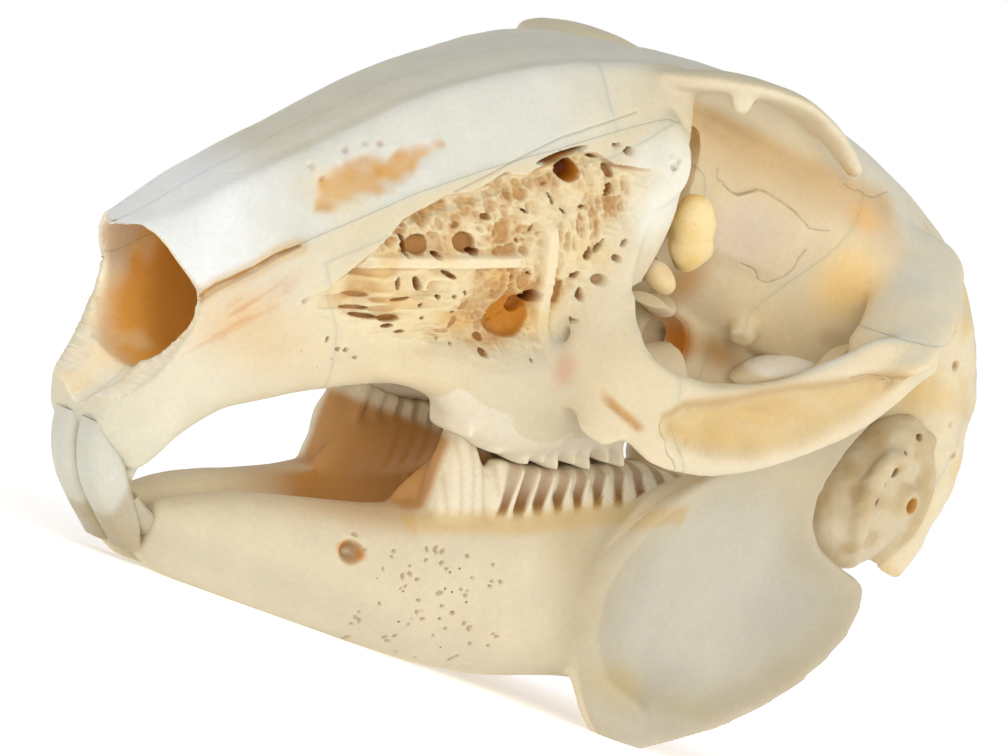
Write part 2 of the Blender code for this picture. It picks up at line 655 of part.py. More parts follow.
def main():
    clear_scene()
    whole = fuse("cranium", cranium_masses(), CRANIUM_TRIANGLES)
    hollows = [
        tube("nostril", [(-52.0, 0, 19.6), (-44.0, 0, 19.8), (-34.0, 0, 22.5)],
             [(5.2, 4.4), (4.4, 4.2), (3.0, 3.6)]),
        tube("throat", [(50.0, 0, 34.5), (42.0, 0, 35.0), (33.0, 0, 37.0)],
             [(4.6, 4.2), (4.6, 4.2), (5.5, 5.0)]),
    ]
    neck = tube("neck", [(22.0, -14.0, 30.0), (23.4, -14.1, 36.0)], [(1.6, 3.8), (1.7, 3.8)], 4, 12,
                up=(1, 0, 0))
    hinge = knuckle("hinge", 1.5 * SUTURE_GAP)
    hollows += both([hinge, neck] + bulla_shape("socket", SUTURE_GAP))
    for hollow in hollows:
        carve(whole, [hollow])
    nodes = part_cranium(largest(whole))
    sockets = tooth_sockets(SUTURE_GAP)
    for bone in nodes:
        if bone.name.startswith("premaxilla"):
            for socket in both(sockets):
                carve(bone, [socket], keep=socket in sockets)
            largest(bone)
    drop(sockets)
    left = [largest(fuse("bulla_left", bulla_shape("ear", 0.0), BULLA_TRIANGLES, voxel=SMALL_VOXEL))]
    incisors = dict(zip(("upper_incisor_left", "peg_incisor_left"), tooth_sockets(0.0)))
    incisors["lower_incisor_left"] = incisor("lower", LOWER_INCISOR, LOWER_SIZE)
    for name, tooth in incisors.items():
        tooth.name = name
        left.append(tooth)
    jaw = jaw_half()
    jaw.name = "mandible_left"
    left.append(jaw)
    for item in left:
        twin = mirrored(item)
        twin.name = item.name.replace("left", "right")
        nodes += [item, twin]
    finish(nodes)


main()
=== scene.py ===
"""Rabbit skull on a pale studio floor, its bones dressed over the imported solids.

Shapes are worked out in skull millimetres: the nose points to -X, the left side is -Y and
the floor is z = 0. Every bone starts as closed surfaces on a grid of two parameters, is grown
together into one skin, is shaped by smooth fields over whole arrays of points, and is then
parted along its sutures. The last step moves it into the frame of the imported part, in metres.
"""

import bmesh
import bpy
import numpy as np
from mathutils import Matrix, Vector


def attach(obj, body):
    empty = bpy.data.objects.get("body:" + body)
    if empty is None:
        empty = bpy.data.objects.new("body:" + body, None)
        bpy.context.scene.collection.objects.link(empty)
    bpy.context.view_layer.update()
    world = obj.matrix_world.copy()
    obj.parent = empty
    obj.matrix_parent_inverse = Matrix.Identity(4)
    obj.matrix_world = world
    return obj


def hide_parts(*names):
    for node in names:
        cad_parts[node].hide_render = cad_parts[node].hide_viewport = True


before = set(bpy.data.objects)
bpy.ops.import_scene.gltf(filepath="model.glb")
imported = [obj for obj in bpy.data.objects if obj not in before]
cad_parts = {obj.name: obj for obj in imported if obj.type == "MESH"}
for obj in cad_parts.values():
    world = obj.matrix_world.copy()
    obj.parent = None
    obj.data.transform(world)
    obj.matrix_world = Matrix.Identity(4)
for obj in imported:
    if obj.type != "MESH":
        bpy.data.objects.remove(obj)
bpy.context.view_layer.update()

# A millimetre in metres, and the shift from skull X to frame X, which centres the part's box.
MM = 0.001
ROW_SHIFT = -1.106
# In mm: grid of the grown skins, and widths of a cut that shows as a seam and of one that doesn't.
VOXEL = 0.26
HAIRLINE = 0.02
CLOSED = 0.005

# Rostrum: x, crown z, shoulder half width and z, flank half width and z, gum half width and z, palate z.
ROSTRUM = (
    (-44.0, 23.2, 1.5, 22.9, 2.1, 22.2, 1.5, 21.2, 20.9),
    (-43.2, 24.1, 2.2, 23.7, 3.3, 22.7, 2.6, 20.9, 20.6),
    (-42.2, 24.9, 2.7, 24.4, 4.3, 22.8, 3.2, 20.2, 20.0),
    (-41.0, 26.0, 3.3, 25.3, 5.2, 21.0, 3.2, 12.6, 12.4),
    (-40.0, 27.0, 3.7, 26.2, 5.9, 20.0, 3.7, 9.6, 9.4),
    (-38.8, 28.2, 4.0, 27.4, 6.5, 19.6, 4.0, 8.6, 8.2),
    (-37.2, 29.8, 4.2, 28.9, 6.9, 19.4, 4.0, 7.8, 7.4),
    (-35.4, 31.5, 4.4, 30.3, 7.2, 19.4, 3.8, 7.2, 7.0),
    (-33.6, 33.1, 4.6, 31.9, 7.5, 19.8, 3.8, 10.0, 10.2),
    (-30.6, 35.8, 4.9, 34.5, 8.0, 21.6, 4.1, 13.2, 13.4),
    (-27.3, 38.7, 5.1, 37.3, 8.6, 23.4, 4.6, 15.2, 15.5),
    (-24.0, 41.4, 5.4, 40.0, 9.2, 25.0, 5.0, 17.0, 17.4),
    (-17.0, 46.1, 6.2, 44.8, 10.8, 29.0, 6.6, 20.2, 20.4),
    (-10.0, 49.5, 7.6, 48.4, 12.2, 33.0, 8.6, 23.0, 23.0),
    (-4.5, 51.4, 8.8, 50.3, 13.0, 37.0, 9.6, 25.6, 25.0),
    (-1.6, 52.2, 9.0, 51.0, 12.4, 38.0, 8.6, 28.4, 27.0),
)
# Vault and skull base: x, crown z, shoulder half width and z, flank half width and z, base half width
# and z, floor z.
VAULT = (
    (-8.0, 50.2, 6.0, 49.4, 8.0, 46.0, 6.0, 34.0, 31.0),
    (-2.0, 51.9, 8.6, 50.7, 8.6, 46.6, 4.6, 33.0, 29.0),
    (4.0, 53.2, 8.8, 52.1, 7.4, 46.6, 3.8, 34.0, 29.5),
    (10.0, 53.6, 9.0, 52.2, 8.6, 45.0, 4.6, 34.6, 31.0),
    (16.0, 53.5, 8.6, 51.8, 11.6, 43.0, 6.6, 34.0, 32.4),
    (23.0, 52.8, 8.4, 50.5, 13.8, 41.4, 8.6, 33.0, 31.6),
    (30.0, 51.0, 8.2, 48.4, 14.2, 39.6, 9.6, 30.6, 29.6),
    (35.5, 48.6, 7.6, 46.2, 12.8, 37.0, 8.6, 29.0, 28.0),
    (39.6, 45.2, 6.4, 43.2, 10.4, 35.0, 6.6, 29.4, 28.4),
    (42.4, 41.6, 4.6, 40.2, 7.0, 35.0, 4.6, 31.0, 30.0),
)
# Cheek arch: x, y, z of its middle, half thickness and half height.
ARCH = (
    (-4.6, -17.4, 24.6, 0.6, 1.6),
    (-1.5, -18.9, 24.9, 1.05, 3.4),
    (2.5, -19.9, 25.6, 1.1, 3.8),
    (7.0, -20.3, 27.1, 1.15, 3.6),
    (11.5, -20.4, 29.5, 1.15, 3.5),
    (15.5, -20.2, 32.3, 1.1, 3.6),
    (19.5, -19.7, 35.2, 1.0, 3.4),
    (23.0, -19.0, 37.2, 0.9, 2.3),
    (26.0, -18.2, 37.8, 0.6, 0.9),
)
# Column from the front rim of the eye socket down to the spine below it: x, y, z, half width and half
# thickness.
CHEEK_COLUMN = (
    (-5.2, -8.6, 48.0, 0.9, 0.6),
    (-4.7, -10.8, 45.4, 2.3, 0.9),
    (-4.5, -11.8, 43.2, 2.5, 1.0),
    (-5.5, -11.8, 40.8, 1.8, 1.0),
    (-5.9, -12.1, 38.2, 1.7, 1.1),
    (-6.1, -12.5, 35.4, 1.8, 1.2),
    (-6.3, -13.1, 32.4, 2.1, 1.2),
    (-6.2, -14.2, 29.2, 2.6, 1.2),
    (-5.4, -15.7, 26.0, 3.2, 1.1),
    (-5.2, -16.9, 23.4, 2.9, 0.9),
    (-5.9, -17.3, 21.6, 1.5, 0.5),
)
# Direction in which the column's broad face looks.
COLUMN_OUT = (-0.67, -0.74, 0)
# Sweep of the socket's front rim into the arch: x, y, z, half width and half thickness.
CHEEK_SWEEP = (
    (-5.6, -13.6, 33.0, 1.5, 0.9),
    (-5.6, -15.0, 30.4, 1.9, 1.0),
    (-4.8, -16.9, 27.8, 2.8, 1.1),
    (-2.4, -18.4, 26.2, 3.5, 1.1),
    (1.6, -19.5, 25.7, 3.8, 1.1),
    (6.0, -20.2, 26.9, 3.4, 1.0),
)
# Shelf over the eye socket: x, y, z of its middle, half width and half thickness.
ORBIT_SHELF = (
    (-5.2, -7.4, 49.9, 0.9, 0.5),
    (-3.2, -8.6, 50.6, 2.3, 0.8),
    (-0.6, -9.8, 51.6, 3.0, 0.9),
    (3.6, -10.6, 52.5, 3.2, 0.85),
    (8.0, -10.8, 52.5, 2.9, 0.8),
    (12.0, -11.4, 51.5, 2.0, 0.75),
    (15.6, -12.1, 49.5, 1.0, 0.6),
)
# Tooth-bearing part of the upper jaw: x, y, z of its middle, half width and half height.
UPPER_GUM = (
    (-20.0, -6.0, 21.4, 1.8, 1.8),
    (-15.5, -7.6, 22.6, 3.2, 2.4),
    (-10.5, -8.2, 22.6, 3.8, 3.4),
    (-3.0, -8.4, 23.4, 4.2, 4.2),
    (3.0, -8.4, 25.8, 3.6, 4.0),
    (8.5, -8.0, 28.6, 2.4, 3.0),
)
# Lower jaw bar: x, y, z of its middle, half thickness and half height.
JAW_BAR = (
    (-31.6, -2.0, 2.9, 1.3, 2.2),
    (-29.5, -2.4, 3.0, 2.0, 3.0),
    (-26.0, -3.0, 3.5, 2.6, 3.9),
    (-18.0, -4.6, 4.6, 3.2, 5.0),
    (-12.0, -6.2, 5.5, 3.9, 5.7),
    (-5.0, -7.8, 6.9, 4.1, 6.7),
    (2.0, -9.4, 9.2, 3.8, 7.3),
    (9.0, -11.4, 12.4, 2.8, 8.0),
    (15.0, -12.8, 16.6, 1.6, 7.0),
    (20.0, -13.4, 20.0, 0.9, 4.0),
)
# Corners of the upright plate of the lower jaw, x and z, from the bar round the heel.
JAW_PLATE = (
    (5.0, 3.6), (8.8, -0.4), (12.0, -0.5), (18.6, 2.6), (24.8, 6.4), (29.2, 10.6), (31.6, 14.6),
    (31.8, 18.4), (28.6, 19.4), (25.0, 20.4), (23.4, 23.0), (24.0, 27.0), (26.0, 32.0), (26.6, 36.0),
    (20.4, 36.2), (17.0, 30.6), (12.0, 23.6), (6.0, 18.6), (2.4, 11.0),
)
# Middle lines of the front teeth, x and z, from the root to the cutting edge.
UPPER_INCISOR = ((-38.2, 10.3), (-38.5, 9.6), (-38.4, 8.6), (-37.9, 7.2), (-36.8, 5.6),
                 (-35.0, 3.9), (-33.4, 2.4), (-32.4, 1.2))
LOWER_INCISOR = ((-22.0, 1.9), (-26.5, 2.2), (-30.0, 2.8), (-32.6, 3.7), (-34.2, 4.8))
PEG_TOOTH = ((-33.0, 13.0), (-34.6, 9.2), (-34.9, 5.6))
# Front edge of the face, x and z: under the nasal tips, back to the notch and down to the tooth sockets.
NOSE_NOTCH = (
    (-50.0, 23.0), (-44.6, 23.2), (-43.5, 23.7), (-42.6, 24.2), (-41.8, 24.1), (-40.8, 23.2),
    (-39.3, 21.9), (-38.3, 20.7), (-37.9, 19.2), (-38.0, 17.6), (-38.3, 15.8), (-38.8, 14.2),
    (-39.5, 12.8), (-40.4, 11.6), (-41.8, 10.8), (-50.0, 10.2),
)
# Honeycombed side of the upper jaw, x and z: its sharp upper edge, and its soft lower edge on the way back.
LATTICE_TOP = (
    (-30.4, 23.4), (-28.7, 25.0), (-26.4, 28.4), (-24.3, 32.0), (-21.4, 35.0), (-19.4, 36.1),
    (-17.1, 38.4), (-15.4, 38.9), (-14.4, 39.9), (-11.6, 42.1), (-10.1, 42.6), (-8.6, 42.3), (-6.2, 42.9),
    (-4.2, 43.5),
)
LATTICE_LOW = (
    (-4.2, 43.5), (-4.9, 40.0), (-5.9, 35.0), (-7.2, 30.0), (-8.4, 25.6), (-13.6, 23.2), (-19.0, 22.4),
    (-25.0, 21.8), (-29.0, 22.0), (-30.4, 23.4),
)
LATTICE = LATTICE_TOP + LATTICE_LOW[1:-1]
# Larger windows of the honeycomb: place along and across its bars, half length, half height, turn and depth.
WINDOWS = (
    (4.4, 6.97, 1.1, 0.92, 0, 2.4), (3.89, 8.14, 2.3, 0.27, 16, 1.6), (-8.97, 1.32, 1.15, 0.9, 10, 1.2),
    (-5.25, 1.55, 1.0, 0.9, 0, 1.2), (-10.15, 1.24, 0.3, 0.9, 12, 1.9), (-7.53, 0.54, 0.4, 0.26, 0, 2.0),
    (-4.48, 0.85, 0.55, 0.3, 0, 2.1), (-3.21, 3.49, 0.45, 0.3, 0, 1.2),
    (-5.75, 2.79, 0.42, 0.26, 30, 1.0), (-10.74, -1.63, 0.22, 0.55, 0, 1.6),
    (-9.14, -1.63, 0.32, 0.64, 25, 1.6), (-6.51, -0.93, 0.8, 0.2, -25, 1.3),
    (-0.85, -4.42, 2.1, 1.75, 20, 1.2), (0.0, -3.41, 1.0, 0.85, 30, 1.8),
    (1.1, -2.79, 0.66, 0.54, 0, 2.6), (-14.13, -2.48, 1.15, 0.24, -3, 1.0),
    (-10.41, -2.87, 1.0, 0.17, 8, 1.0), (-14.3, -3.49, 1.6, 0.2, -3, 1.0),
    (-13.37, -4.18, 1.6, 0.2, -8, 1.1), (-11.17, -4.42, 1.1, 0.32, 0, 1.1),
    (-11.17, -5.04, 0.65, 0.2, 0, 1.0), (-9.9, -5.58, 0.56, 0.17, 0, 0.9),
    (-5.25, -4.96, 0.4, 0.65, -30, 0.9), (-3.13, -6.05, 0.38, 0.34, 30, 1.2),
    (-3.47, -7.05, 0.34, 0.34, 0, 1.2), (3.21, -2.4, 0.32, 1.15, -8, 1.0),
    (5.41, 0.7, 0.32, 0.56, -20, 2.0), (6.26, 1.32, 0.74, 0.19, 50, 1.6),
    (8.04, 1.71, 0.42, 0.16, 40, 1.1), (4.48, -1.01, 0.42, 0.19, 40, 1.6),
    (5.84, -1.16, 0.56, 0.4, 30, 0.9), (4.57, -2.4, 0.24, 0.56, -10, 1.2),
    (3.89, -4.34, 0.15, 0.15, 0, 1.2), (7.28, 0.54, 0.36, 0.28, 0, 0.9),
    (7.61, 5.58, 0.66, 0.28, 50, 1.5), (7.78, 6.97, 0.4, 0.65, 30, 1.2), (6.6, 8.06, 0.5, 0.15, -15, 1.2),
    (9.64, 8.53, 0.42, 0.27, 0, 1.0), (8.71, 8.91, 0.33, 0.17, 0, 0.8),
    (0.08, 3.95, 0.36, 0.12, -25, 1.3), (0.5, 2.71, 0.13, 0.42, -15, 1.4),
    (2.45, 4.88, 0.15, 0.56, 25, 1.3), (3.38, 3.95, 0.32, 0.12, -40, 1.2),
    (5.16, 4.26, 0.36, 0.13, 10, 1.3), (2.28, 5.89, 0.34, 0.12, 20, 1.1),
    (-0.68, 1.7, 0.17, 0.15, 0, 1.3), (-1.02, -1.16, 0.16, 0.2, 0, 1.3),
    (0.42, -0.85, 0.28, 0.12, -30, 1.2), (-7.28, -2.71, 0.24, 0.18, 0, 1.4),
    (-5.84, -2.71, 0.17, 0.14, 0, 1.3), (-4.99, -2.4, 0.14, 0.2, 0, 1.3),
    (-8.54, -3.41, 0.24, 0.15, 30, 1.2), (-8.29, -4.42, 0.22, 0.13, 0, 1.3),
    (-5.58, -4.03, 0.2, 0.12, 0, 1.2), (-2.45, -2.32, 0.12, 0.12, 0, 1.2),
    (-15.4, -6.82, 0.2, 0.1, 0, 0.8), (-14.6, -6.9, 0.18, 0.1, 0, 0.8), (-13.37, -7.6, 0.2, 0.1, 10, 0.7),
    (-16.5, -5.89, 0.12, 0.2, 0, 0.8), (-6.6, -6.2, 0.2, 0.12, 20, 0.8),
    (-5.58, -6.6, 0.2, 0.12, 20, 0.8), (0.0, -7.44, 0.16, 0.12, 0, 0.9),
)
# Outline of the hollow along the cheek arch, x and z.
ARCH_HOLLOW = (
    (-1.7, 25.4), (-0.4, 26.9), (2.6, 28.2), (5.9, 29.9), (9.4, 31.5), (15.2, 33.8), (19.0, 35.4),
    (20.6, 35.6), (19.4, 33.6), (15.9, 30.2), (13.6, 28.3), (10.1, 26.2), (7.4, 24.8), (3.8, 24.1),
    (0.3, 23.6), (-1.5, 24.2),
)
# Seam and step on the inner wall of the eye socket, the ridge on the lower jaw, and the sunk plate
# behind that ridge, x and z.
SOCKET_SEAM = (
    (5.6, 45.6), (6.0, 44.6), (8.2, 44.2), (9.4, 45.3), (10.4, 45.4), (12.2, 45.0), (13.4, 44.4),
    (14.6, 44.0), (15.5, 44.3),
)
SOCKET_STEP = ((14.9, 42.4), (14.8, 40.2), (14.3, 39.0), (13.4, 38.4), (12.8, 39.2), (11.2, 39.2))
JAW_RIDGE = (
    (11.6, 23.4), (10.0, 21.9), (5.9, 17.4), (4.3, 13.6), (3.7, 10.8), (4.5, 6.9), (6.7, 4.1),
    (11.8, 2.6),
)
JAW_FOSSA = JAW_RIDGE + (
    (18.6, 2.6), (24.8, 6.4), (29.2, 10.6), (31.6, 14.6), (31.8, 18.4), (25.0, 20.4), (20.0, 26.0),
)
# Short open slit in front of the cheek arch, x and z.
CHEEK_SLIT = ((-6.4, 25.4), (-5.0, 24.6), (-3.2, 23.9))
# Open slit between the nasal and the bone below it, x and z.
NOSE_SLIT = ((-38.4, 20.7), (-37.4, 22.1), (-36.2, 23.1), (-34.7, 24.4), (-33.3, 25.9), (-31.7, 27.2))
# Thin bone on the side of the nose, painted amber as light shining through it, x and z.
THIN_BONE = (
    (-31.0, 30.0), (-31.0, 32.2), (-29.8, 33.9), (-26.3, 36.1), (-22.0, 38.5), (-24.6, 34.9),
    (-27.6, 32.4),
)
# Pits: x, y, z, radius and depth.
PITS = (
    (-31.7, -5.0, 33.2, 0.3, 0.35), (-30.9, -5.7, 32.6, 0.24, 0.3), (-29.3, -5.1, 35.3, 0.28, 0.25),
    (-27.9, -5.3, 36.4, 0.24, 0.25), (-26.8, -5.7, 36.8, 0.3, 0.2), (-5.6, -12.2, 45.9, 0.22, 0.6),
    (-5.2, -12.4, 45.3, 0.24, 0.7), (-4.7, -12.8, 44.8, 0.3, 0.6), (-4.1, -13.2, 44.5, 0.24, 0.8),
    (-4.4, -13.2, 43.9, 0.34, 0.6), (-16.7, -8.4, 6.8, 0.95, 1.7), (28.9, -14.4, 25.4, 0.45, 1.0),
    (30.1, -14.4, 28.2, 0.4, 0.9), (29.2, -14.2, 27.0, 0.34, 0.8), (31.5, -14.6, 31.7, 0.3, 0.6),
    (30.4, -13.8, 30.0, 0.28, 0.5), (34.6, -14.4, 33.7, 0.28, 0.5), (1.0, -20.7, 24.2, 0.2, 0.5),
    (30.7, -14.3, 41.3, 0.8, 1.1), (33.4, -13.8, 38.4, 0.4, 0.6), (36.4, -13.4, 31.4, 0.4, 0.7),
)
FACE_PITS = PITS[:12]
BULLA_PITS = PITS[11:17]
BACK_PITS = PITS[18:]

# Sutures, x and z seen from the side.
NASAL_SUTURE = (
    (-56.0, 19.6), (-44.0, 20.2), (-38.4, 21.2), (-35.8, 23.4), (-31.2, 27.8), (-24.0, 33.9),
    (-18.5, 38.1), (-12.7, 42.0), (-7.7, 45.4), (-4.2, 47.6),
)
ORBIT_WALL = (
    (-4.2, 47.6), (-0.6, 46.4), (5.4, 44.4), (6.6, 39.0), (7.6, 34.4), (11.8, 33.0), (12.6, 28.0),
    (12.8, 20.0),
)
FACE_SUTURE = (
    (-21.4, 4.0), (-21.8, 16.0), (-27.0, 23.4), (-29.6, 26.6), (-23.2, 32.0), (-15.2, 38.0), (-8.6, 42.8),
    (-5.4, 45.8), (-4.2, 47.5),
)
CHEEK_FRONT = ((-2.4, 36.0), (-0.8, 24.6), (2.6, 21.4), (5.0, 14.0))
CHEEK_REAR = ((10.0, 37.2), (20.8, 38.4), (22.6, 38.8), (32.0, 42.0))
FRONTAL_SUTURE = ((-8.6, 44.6), (-9.6, 47.4), (-12.4, 60.0))
CORONAL_SUTURE = ((20.0, 62.0), (18.6, 48.0), (14.6, 38.0), (13.6, 20.0))
LAMBDOID_SUTURE = ((32.4, 62.0), (35.4, 46.0), (37.4, 38.0), (36.0, 30.0), (35.6, 26.6), (30.0, 26.4))
# Half widths of the cuts that part the middle of the skull and of those that reach past the cheeks.
INNER_CUT = 14.5
OUTER_CUT = 30.0
# A point on the right bone of each pair that is parted down the middle.
MIDDLE_PAIRS = {"nasal": (-25.0, 4.0, 41.0), "premaxilla": (-34.0, 7.0, 18.0), "maxilla": (-14.0, 11.5, 32.0)}
# Spacing of the leaning cheek teeth and of the waves on the first lower one, in mm.
TOOTH_STEP = 1.62
WAVE_STEP = 1.25
# Pits scattered over the side of the lower jaw.
JAW_PITS = 64
# Shells with no more points than this are crumbs that the cuts leave.
SMALL_SHELL = 200
# Distance at which a crack no longer matters, in mm.
CRACK_FAR = 2.0


# Surfaces on a grid

def through(knots, values, where):
    """Smooth curve through values at knots: cubic pieces whose slopes are the neighbours' mean."""
    knots = np.asarray(knots, float)
    values = np.asarray(values, float)
    slopes = np.gradient(values, knots, axis=0)
    where = np.clip(where, knots[0], knots[-1])
    cell = np.clip(np.searchsorted(knots, where) - 1, 0, len(knots) - 2)
    span = (knots[cell + 1] - knots[cell]).reshape((-1,) + (1,) * (values.ndim - 1))
    u = (where - knots[cell]).reshape(span.shape) / span
    return ((2 * u**3 - 3 * u**2 + 1) * values[cell] + (u**3 - 2 * u**2 + u) * span * slopes[cell]
            + (3 * u**2 - 2 * u**3) * values[cell + 1] + (u**3 - u**2) * span * slopes[cell + 1])


def closed_curve(corners, count):
    """Even samples of the smooth closed curve through the corners, which run along axis 0."""
    corners = np.asarray(corners, float)
    wrapped = np.concatenate([corners[-2:], corners, corners[:3]])
    where = np.linspace(0, len(corners), count, endpoint=False)
    return through(np.arange(-2, len(corners) + 3), wrapped, where)


def reach_along(path):
    """Distance from the start of a path to each of its points."""
    return np.r_[0, np.cumsum(np.linalg.norm(np.diff(path, axis=0), axis=1))]


def hull(stations, steps=150, around=112):
    """Skull mass along X: a rib at x runs crown, shoulder, flank, gum and palate, mirrored at y = 0."""
    table = np.array(stations)
    xs = np.linspace(table[0, 0], table[-1, 0], steps)
    crown, w_s, z_s, w_f, z_f, w_g, z_g, palate = through(table[:, 0], table[:, 1:], xs).T
    nought = np.zeros(steps)
    half = np.array([
        (nought, crown), (w_s * 0.55, crown - (crown - z_s) * 0.25), (w_s, z_s),
        (w_f * 0.97, z_f + (z_s - z_f) * 0.4), (w_f, z_f),
        (w_g + (w_f - w_g) * 0.5, z_g + (z_f - z_g) * 0.3), (w_g, z_g),
        (w_g * 0.5, palate + (z_g - palate) * 0.3), (nought, palate)])
    half = half.transpose(0, 2, 1)
    other = half[-2:0:-1] * (-1, 1)
    ribs = closed_curve(np.concatenate([half, other]), around).transpose(1, 0, 2)
    depth = np.broadcast_to(xs[:, None, None], (steps, around, 1))
    return np.concatenate([depth, ribs], axis=2)


def rod(path, sizes, steps=60, around=40, power=2.0, up=(0, 0, 1)):
    """Superellipse of half width and half height sizes, carried along the smooth path."""
    path = np.array(path, float)
    reach = reach_along(path)
    where = np.linspace(0, reach[-1], steps)
    line = through(reach, path, where)
    size = through(reach, np.array(sizes, float), where)
    ahead = np.gradient(line, axis=0)
    ahead /= np.linalg.norm(ahead, axis=1)[:, None]
    side = np.cross(ahead, np.array(up, float))
    side /= np.linalg.norm(side, axis=1)[:, None]
    top = np.cross(side, ahead)
    turn = np.linspace(0, 2 * np.pi, around, endpoint=False)
    across = np.sign(np.cos(turn)) * np.abs(np.cos(turn)) ** (2 / power)
    raised = np.sign(np.sin(turn)) * np.abs(np.sin(turn)) ** (2 / power)
    return (line[:, None] + across[None, :, None] * (size[:, None, :1] * side[:, None])
            + raised[None, :, None] * (size[:, None, 1:] * top[:, None]))


def table_rod(table, power=2.3):
    """Rod from rows of x, y, z, half thickness and half height."""
    rows = np.array(table)
    return rod(rows[:, :3], rows[:, 3:], 90, 48, power)


def egg(centre, radii, turn_y=0.0, rows=40, around=56):
    """Ellipsoid by latitude and longitude, turned about the Y axis by turn_y degrees."""
    lat = np.linspace(-np.pi / 2, np.pi / 2, rows + 2)[1:-1, None]
    lon = np.linspace(0, 2 * np.pi, around, endpoint=False)[None]
    x = np.cos(lat) * np.cos(lon) * radii[0]
    y = np.cos(lat) * np.sin(lon) * radii[1]
    z = np.sin(lat) * radii[2] + 0 * lon
    c, s = np.cos(np.radians(turn_y)), np.sin(np.radians(turn_y))
    return np.stack([x * c + z * s, y, -x * s + z * c], axis=2) + np.array(centre)


def plate(outline, stand, half_thick, rows=24, around=240):
    """Plate seen from the side: rings of the closed outline shrink to its middle on both faces.

    A ring at share s of the way in lies at y = stand(x, z, s), with half thickness half_thick(s).
    """
    rim = closed_curve(outline, around)
    middle = rim.mean(axis=0)
    share = np.linspace(0.97, 0, rows)[:, None]
    x = rim[None, :, 0] + (middle[0] - rim[None, :, 0]) * share
    z = rim[None, :, 1] + (middle[1] - rim[None, :, 1]) * share
    y = stand(x, z, share)
    thick = half_thick(share) + 0 * x
    near = np.stack([x, y - thick, z], axis=2)
    far = np.stack([x, y + thick, z], axis=2)[::-1]
    return np.concatenate([near, far])


def other_side(rings):
    """The same surface on the right side, its columns turned so that it still faces outwards."""
    return (rings * (1, -1, 1))[:, ::-1]


def pair(shells):
    """The left shells followed by their right twins."""
    return list(shells) + [other_side(shell) for shell in shells]


def skin_arrays(rings):
    """Points, four-cornered and three-cornered faces of a grid of rings closed by a fan at each end."""
    rows, around = rings.shape[:2]
    points = np.concatenate([rings.reshape(-1, 3), rings[:1].mean(axis=1), rings[-1:].mean(axis=1)])
    i, j = np.meshgrid(np.arange(rows - 1), np.arange(around), indexing="ij")
    k = (j + 1) % around
    quads = np.stack([i * around + j, i * around + k, (i + 1) * around + k, (i + 1) * around + j], axis=2)
    column = np.arange(around)
    following = (column + 1) % around
    last = (rows - 1) * around
    first_fan = np.stack([following, column, np.full(around, rows * around)], axis=1)
    last_fan = np.stack([last + column, last + following, np.full(around, rows * around + 1)], axis=1)
    quads = quads.reshape(-1, 4)
    fans = np.concatenate([first_fan, last_fan])
    a, b, c = points[quads[:, 0]], points[quads[:, 1]], points[quads[:, 2]]
    if np.einsum("ij,ij->", a, np.cross(b, c)) < 0:
        quads, fans = quads[:, ::-1], fans[:, ::-1]
    return points, quads, fans


def piece_from(name, spots, corners, sizes):
    """Object from points in skull millimetres, the point of every face corner, and the corners per face."""
    mesh = bpy.data.meshes.new(name)
    mesh.vertices.add(len(spots))
    mesh.vertices.foreach_set("co", (spots * MM).astype(np.float32).ravel())
    mesh.loops.add(len(corners))
    mesh.loops.foreach_set("vertex_index", corners.astype(np.int32))
    mesh.polygons.add(len(sizes))
    mesh.polygons.foreach_set("loop_start", np.r_[0, np.cumsum(sizes)[:-1]].astype(np.int32))
    mesh.update(calc_edges=True)
    item = bpy.data.objects.new(name, mesh)
    bpy.context.scene.collection.objects.link(item)
    return item


def mesh_piece(name, shells):
    """One object that holds every shell of rings."""
    points, corners, sizes, used = [], [], [], 0
    for rings in shells:
        middle = rings.reshape(-1, 3).mean(axis=0)
        own_points, quads, fans = skin_arrays(rings - middle)
        points.append(own_points + middle)
        corners += [quads.ravel() + used, fans.ravel() + used]
        sizes += [np.full(len(quads), 4), np.full(len(fans), 3)]
        used += len(own_points)
    return piece_from(name, np.concatenate(points), np.concatenate(corners), np.concatenate(sizes))


def settle(item):
    """Bake the modifiers of an object into its mesh."""
    view = bpy.context.evaluated_depsgraph_get()
    baked = bpy.data.meshes.new_from_object(item.evaluated_get(view))
    old = item.data
    item.modifiers.clear()
    item.data = baked
    bpy.data.meshes.remove(old)
    return item


def grown(name, shells, voxel=VOXEL, smooth=5):
    """Shells grown into one closed skin on a fine voxel grid and smoothed."""
    item = mesh_piece(name, shells)
    remesh = item.modifiers.new("grown", "REMESH")
    remesh.mode = "VOXEL"
    remesh.voxel_size = voxel * MM
    soften = item.modifiers.new("soften", "SMOOTH")
    soften.factor = 0.5
    soften.iterations = smooth
    return settle(item)


def carve(item, shells, operation="DIFFERENCE"):
    """Cut every shell from the item, one after another, or join it on when the operation is UNION."""
    for rings in shells:
        tool = mesh_piece("tool", [rings])
        cut = item.modifiers.new("cut", "BOOLEAN")
        cut.operation = operation
        cut.solver = "MANIFOLD"
        cut.object = tool
        settle(item)
        bpy.data.objects.remove(tool, do_unlink=True)
    return item


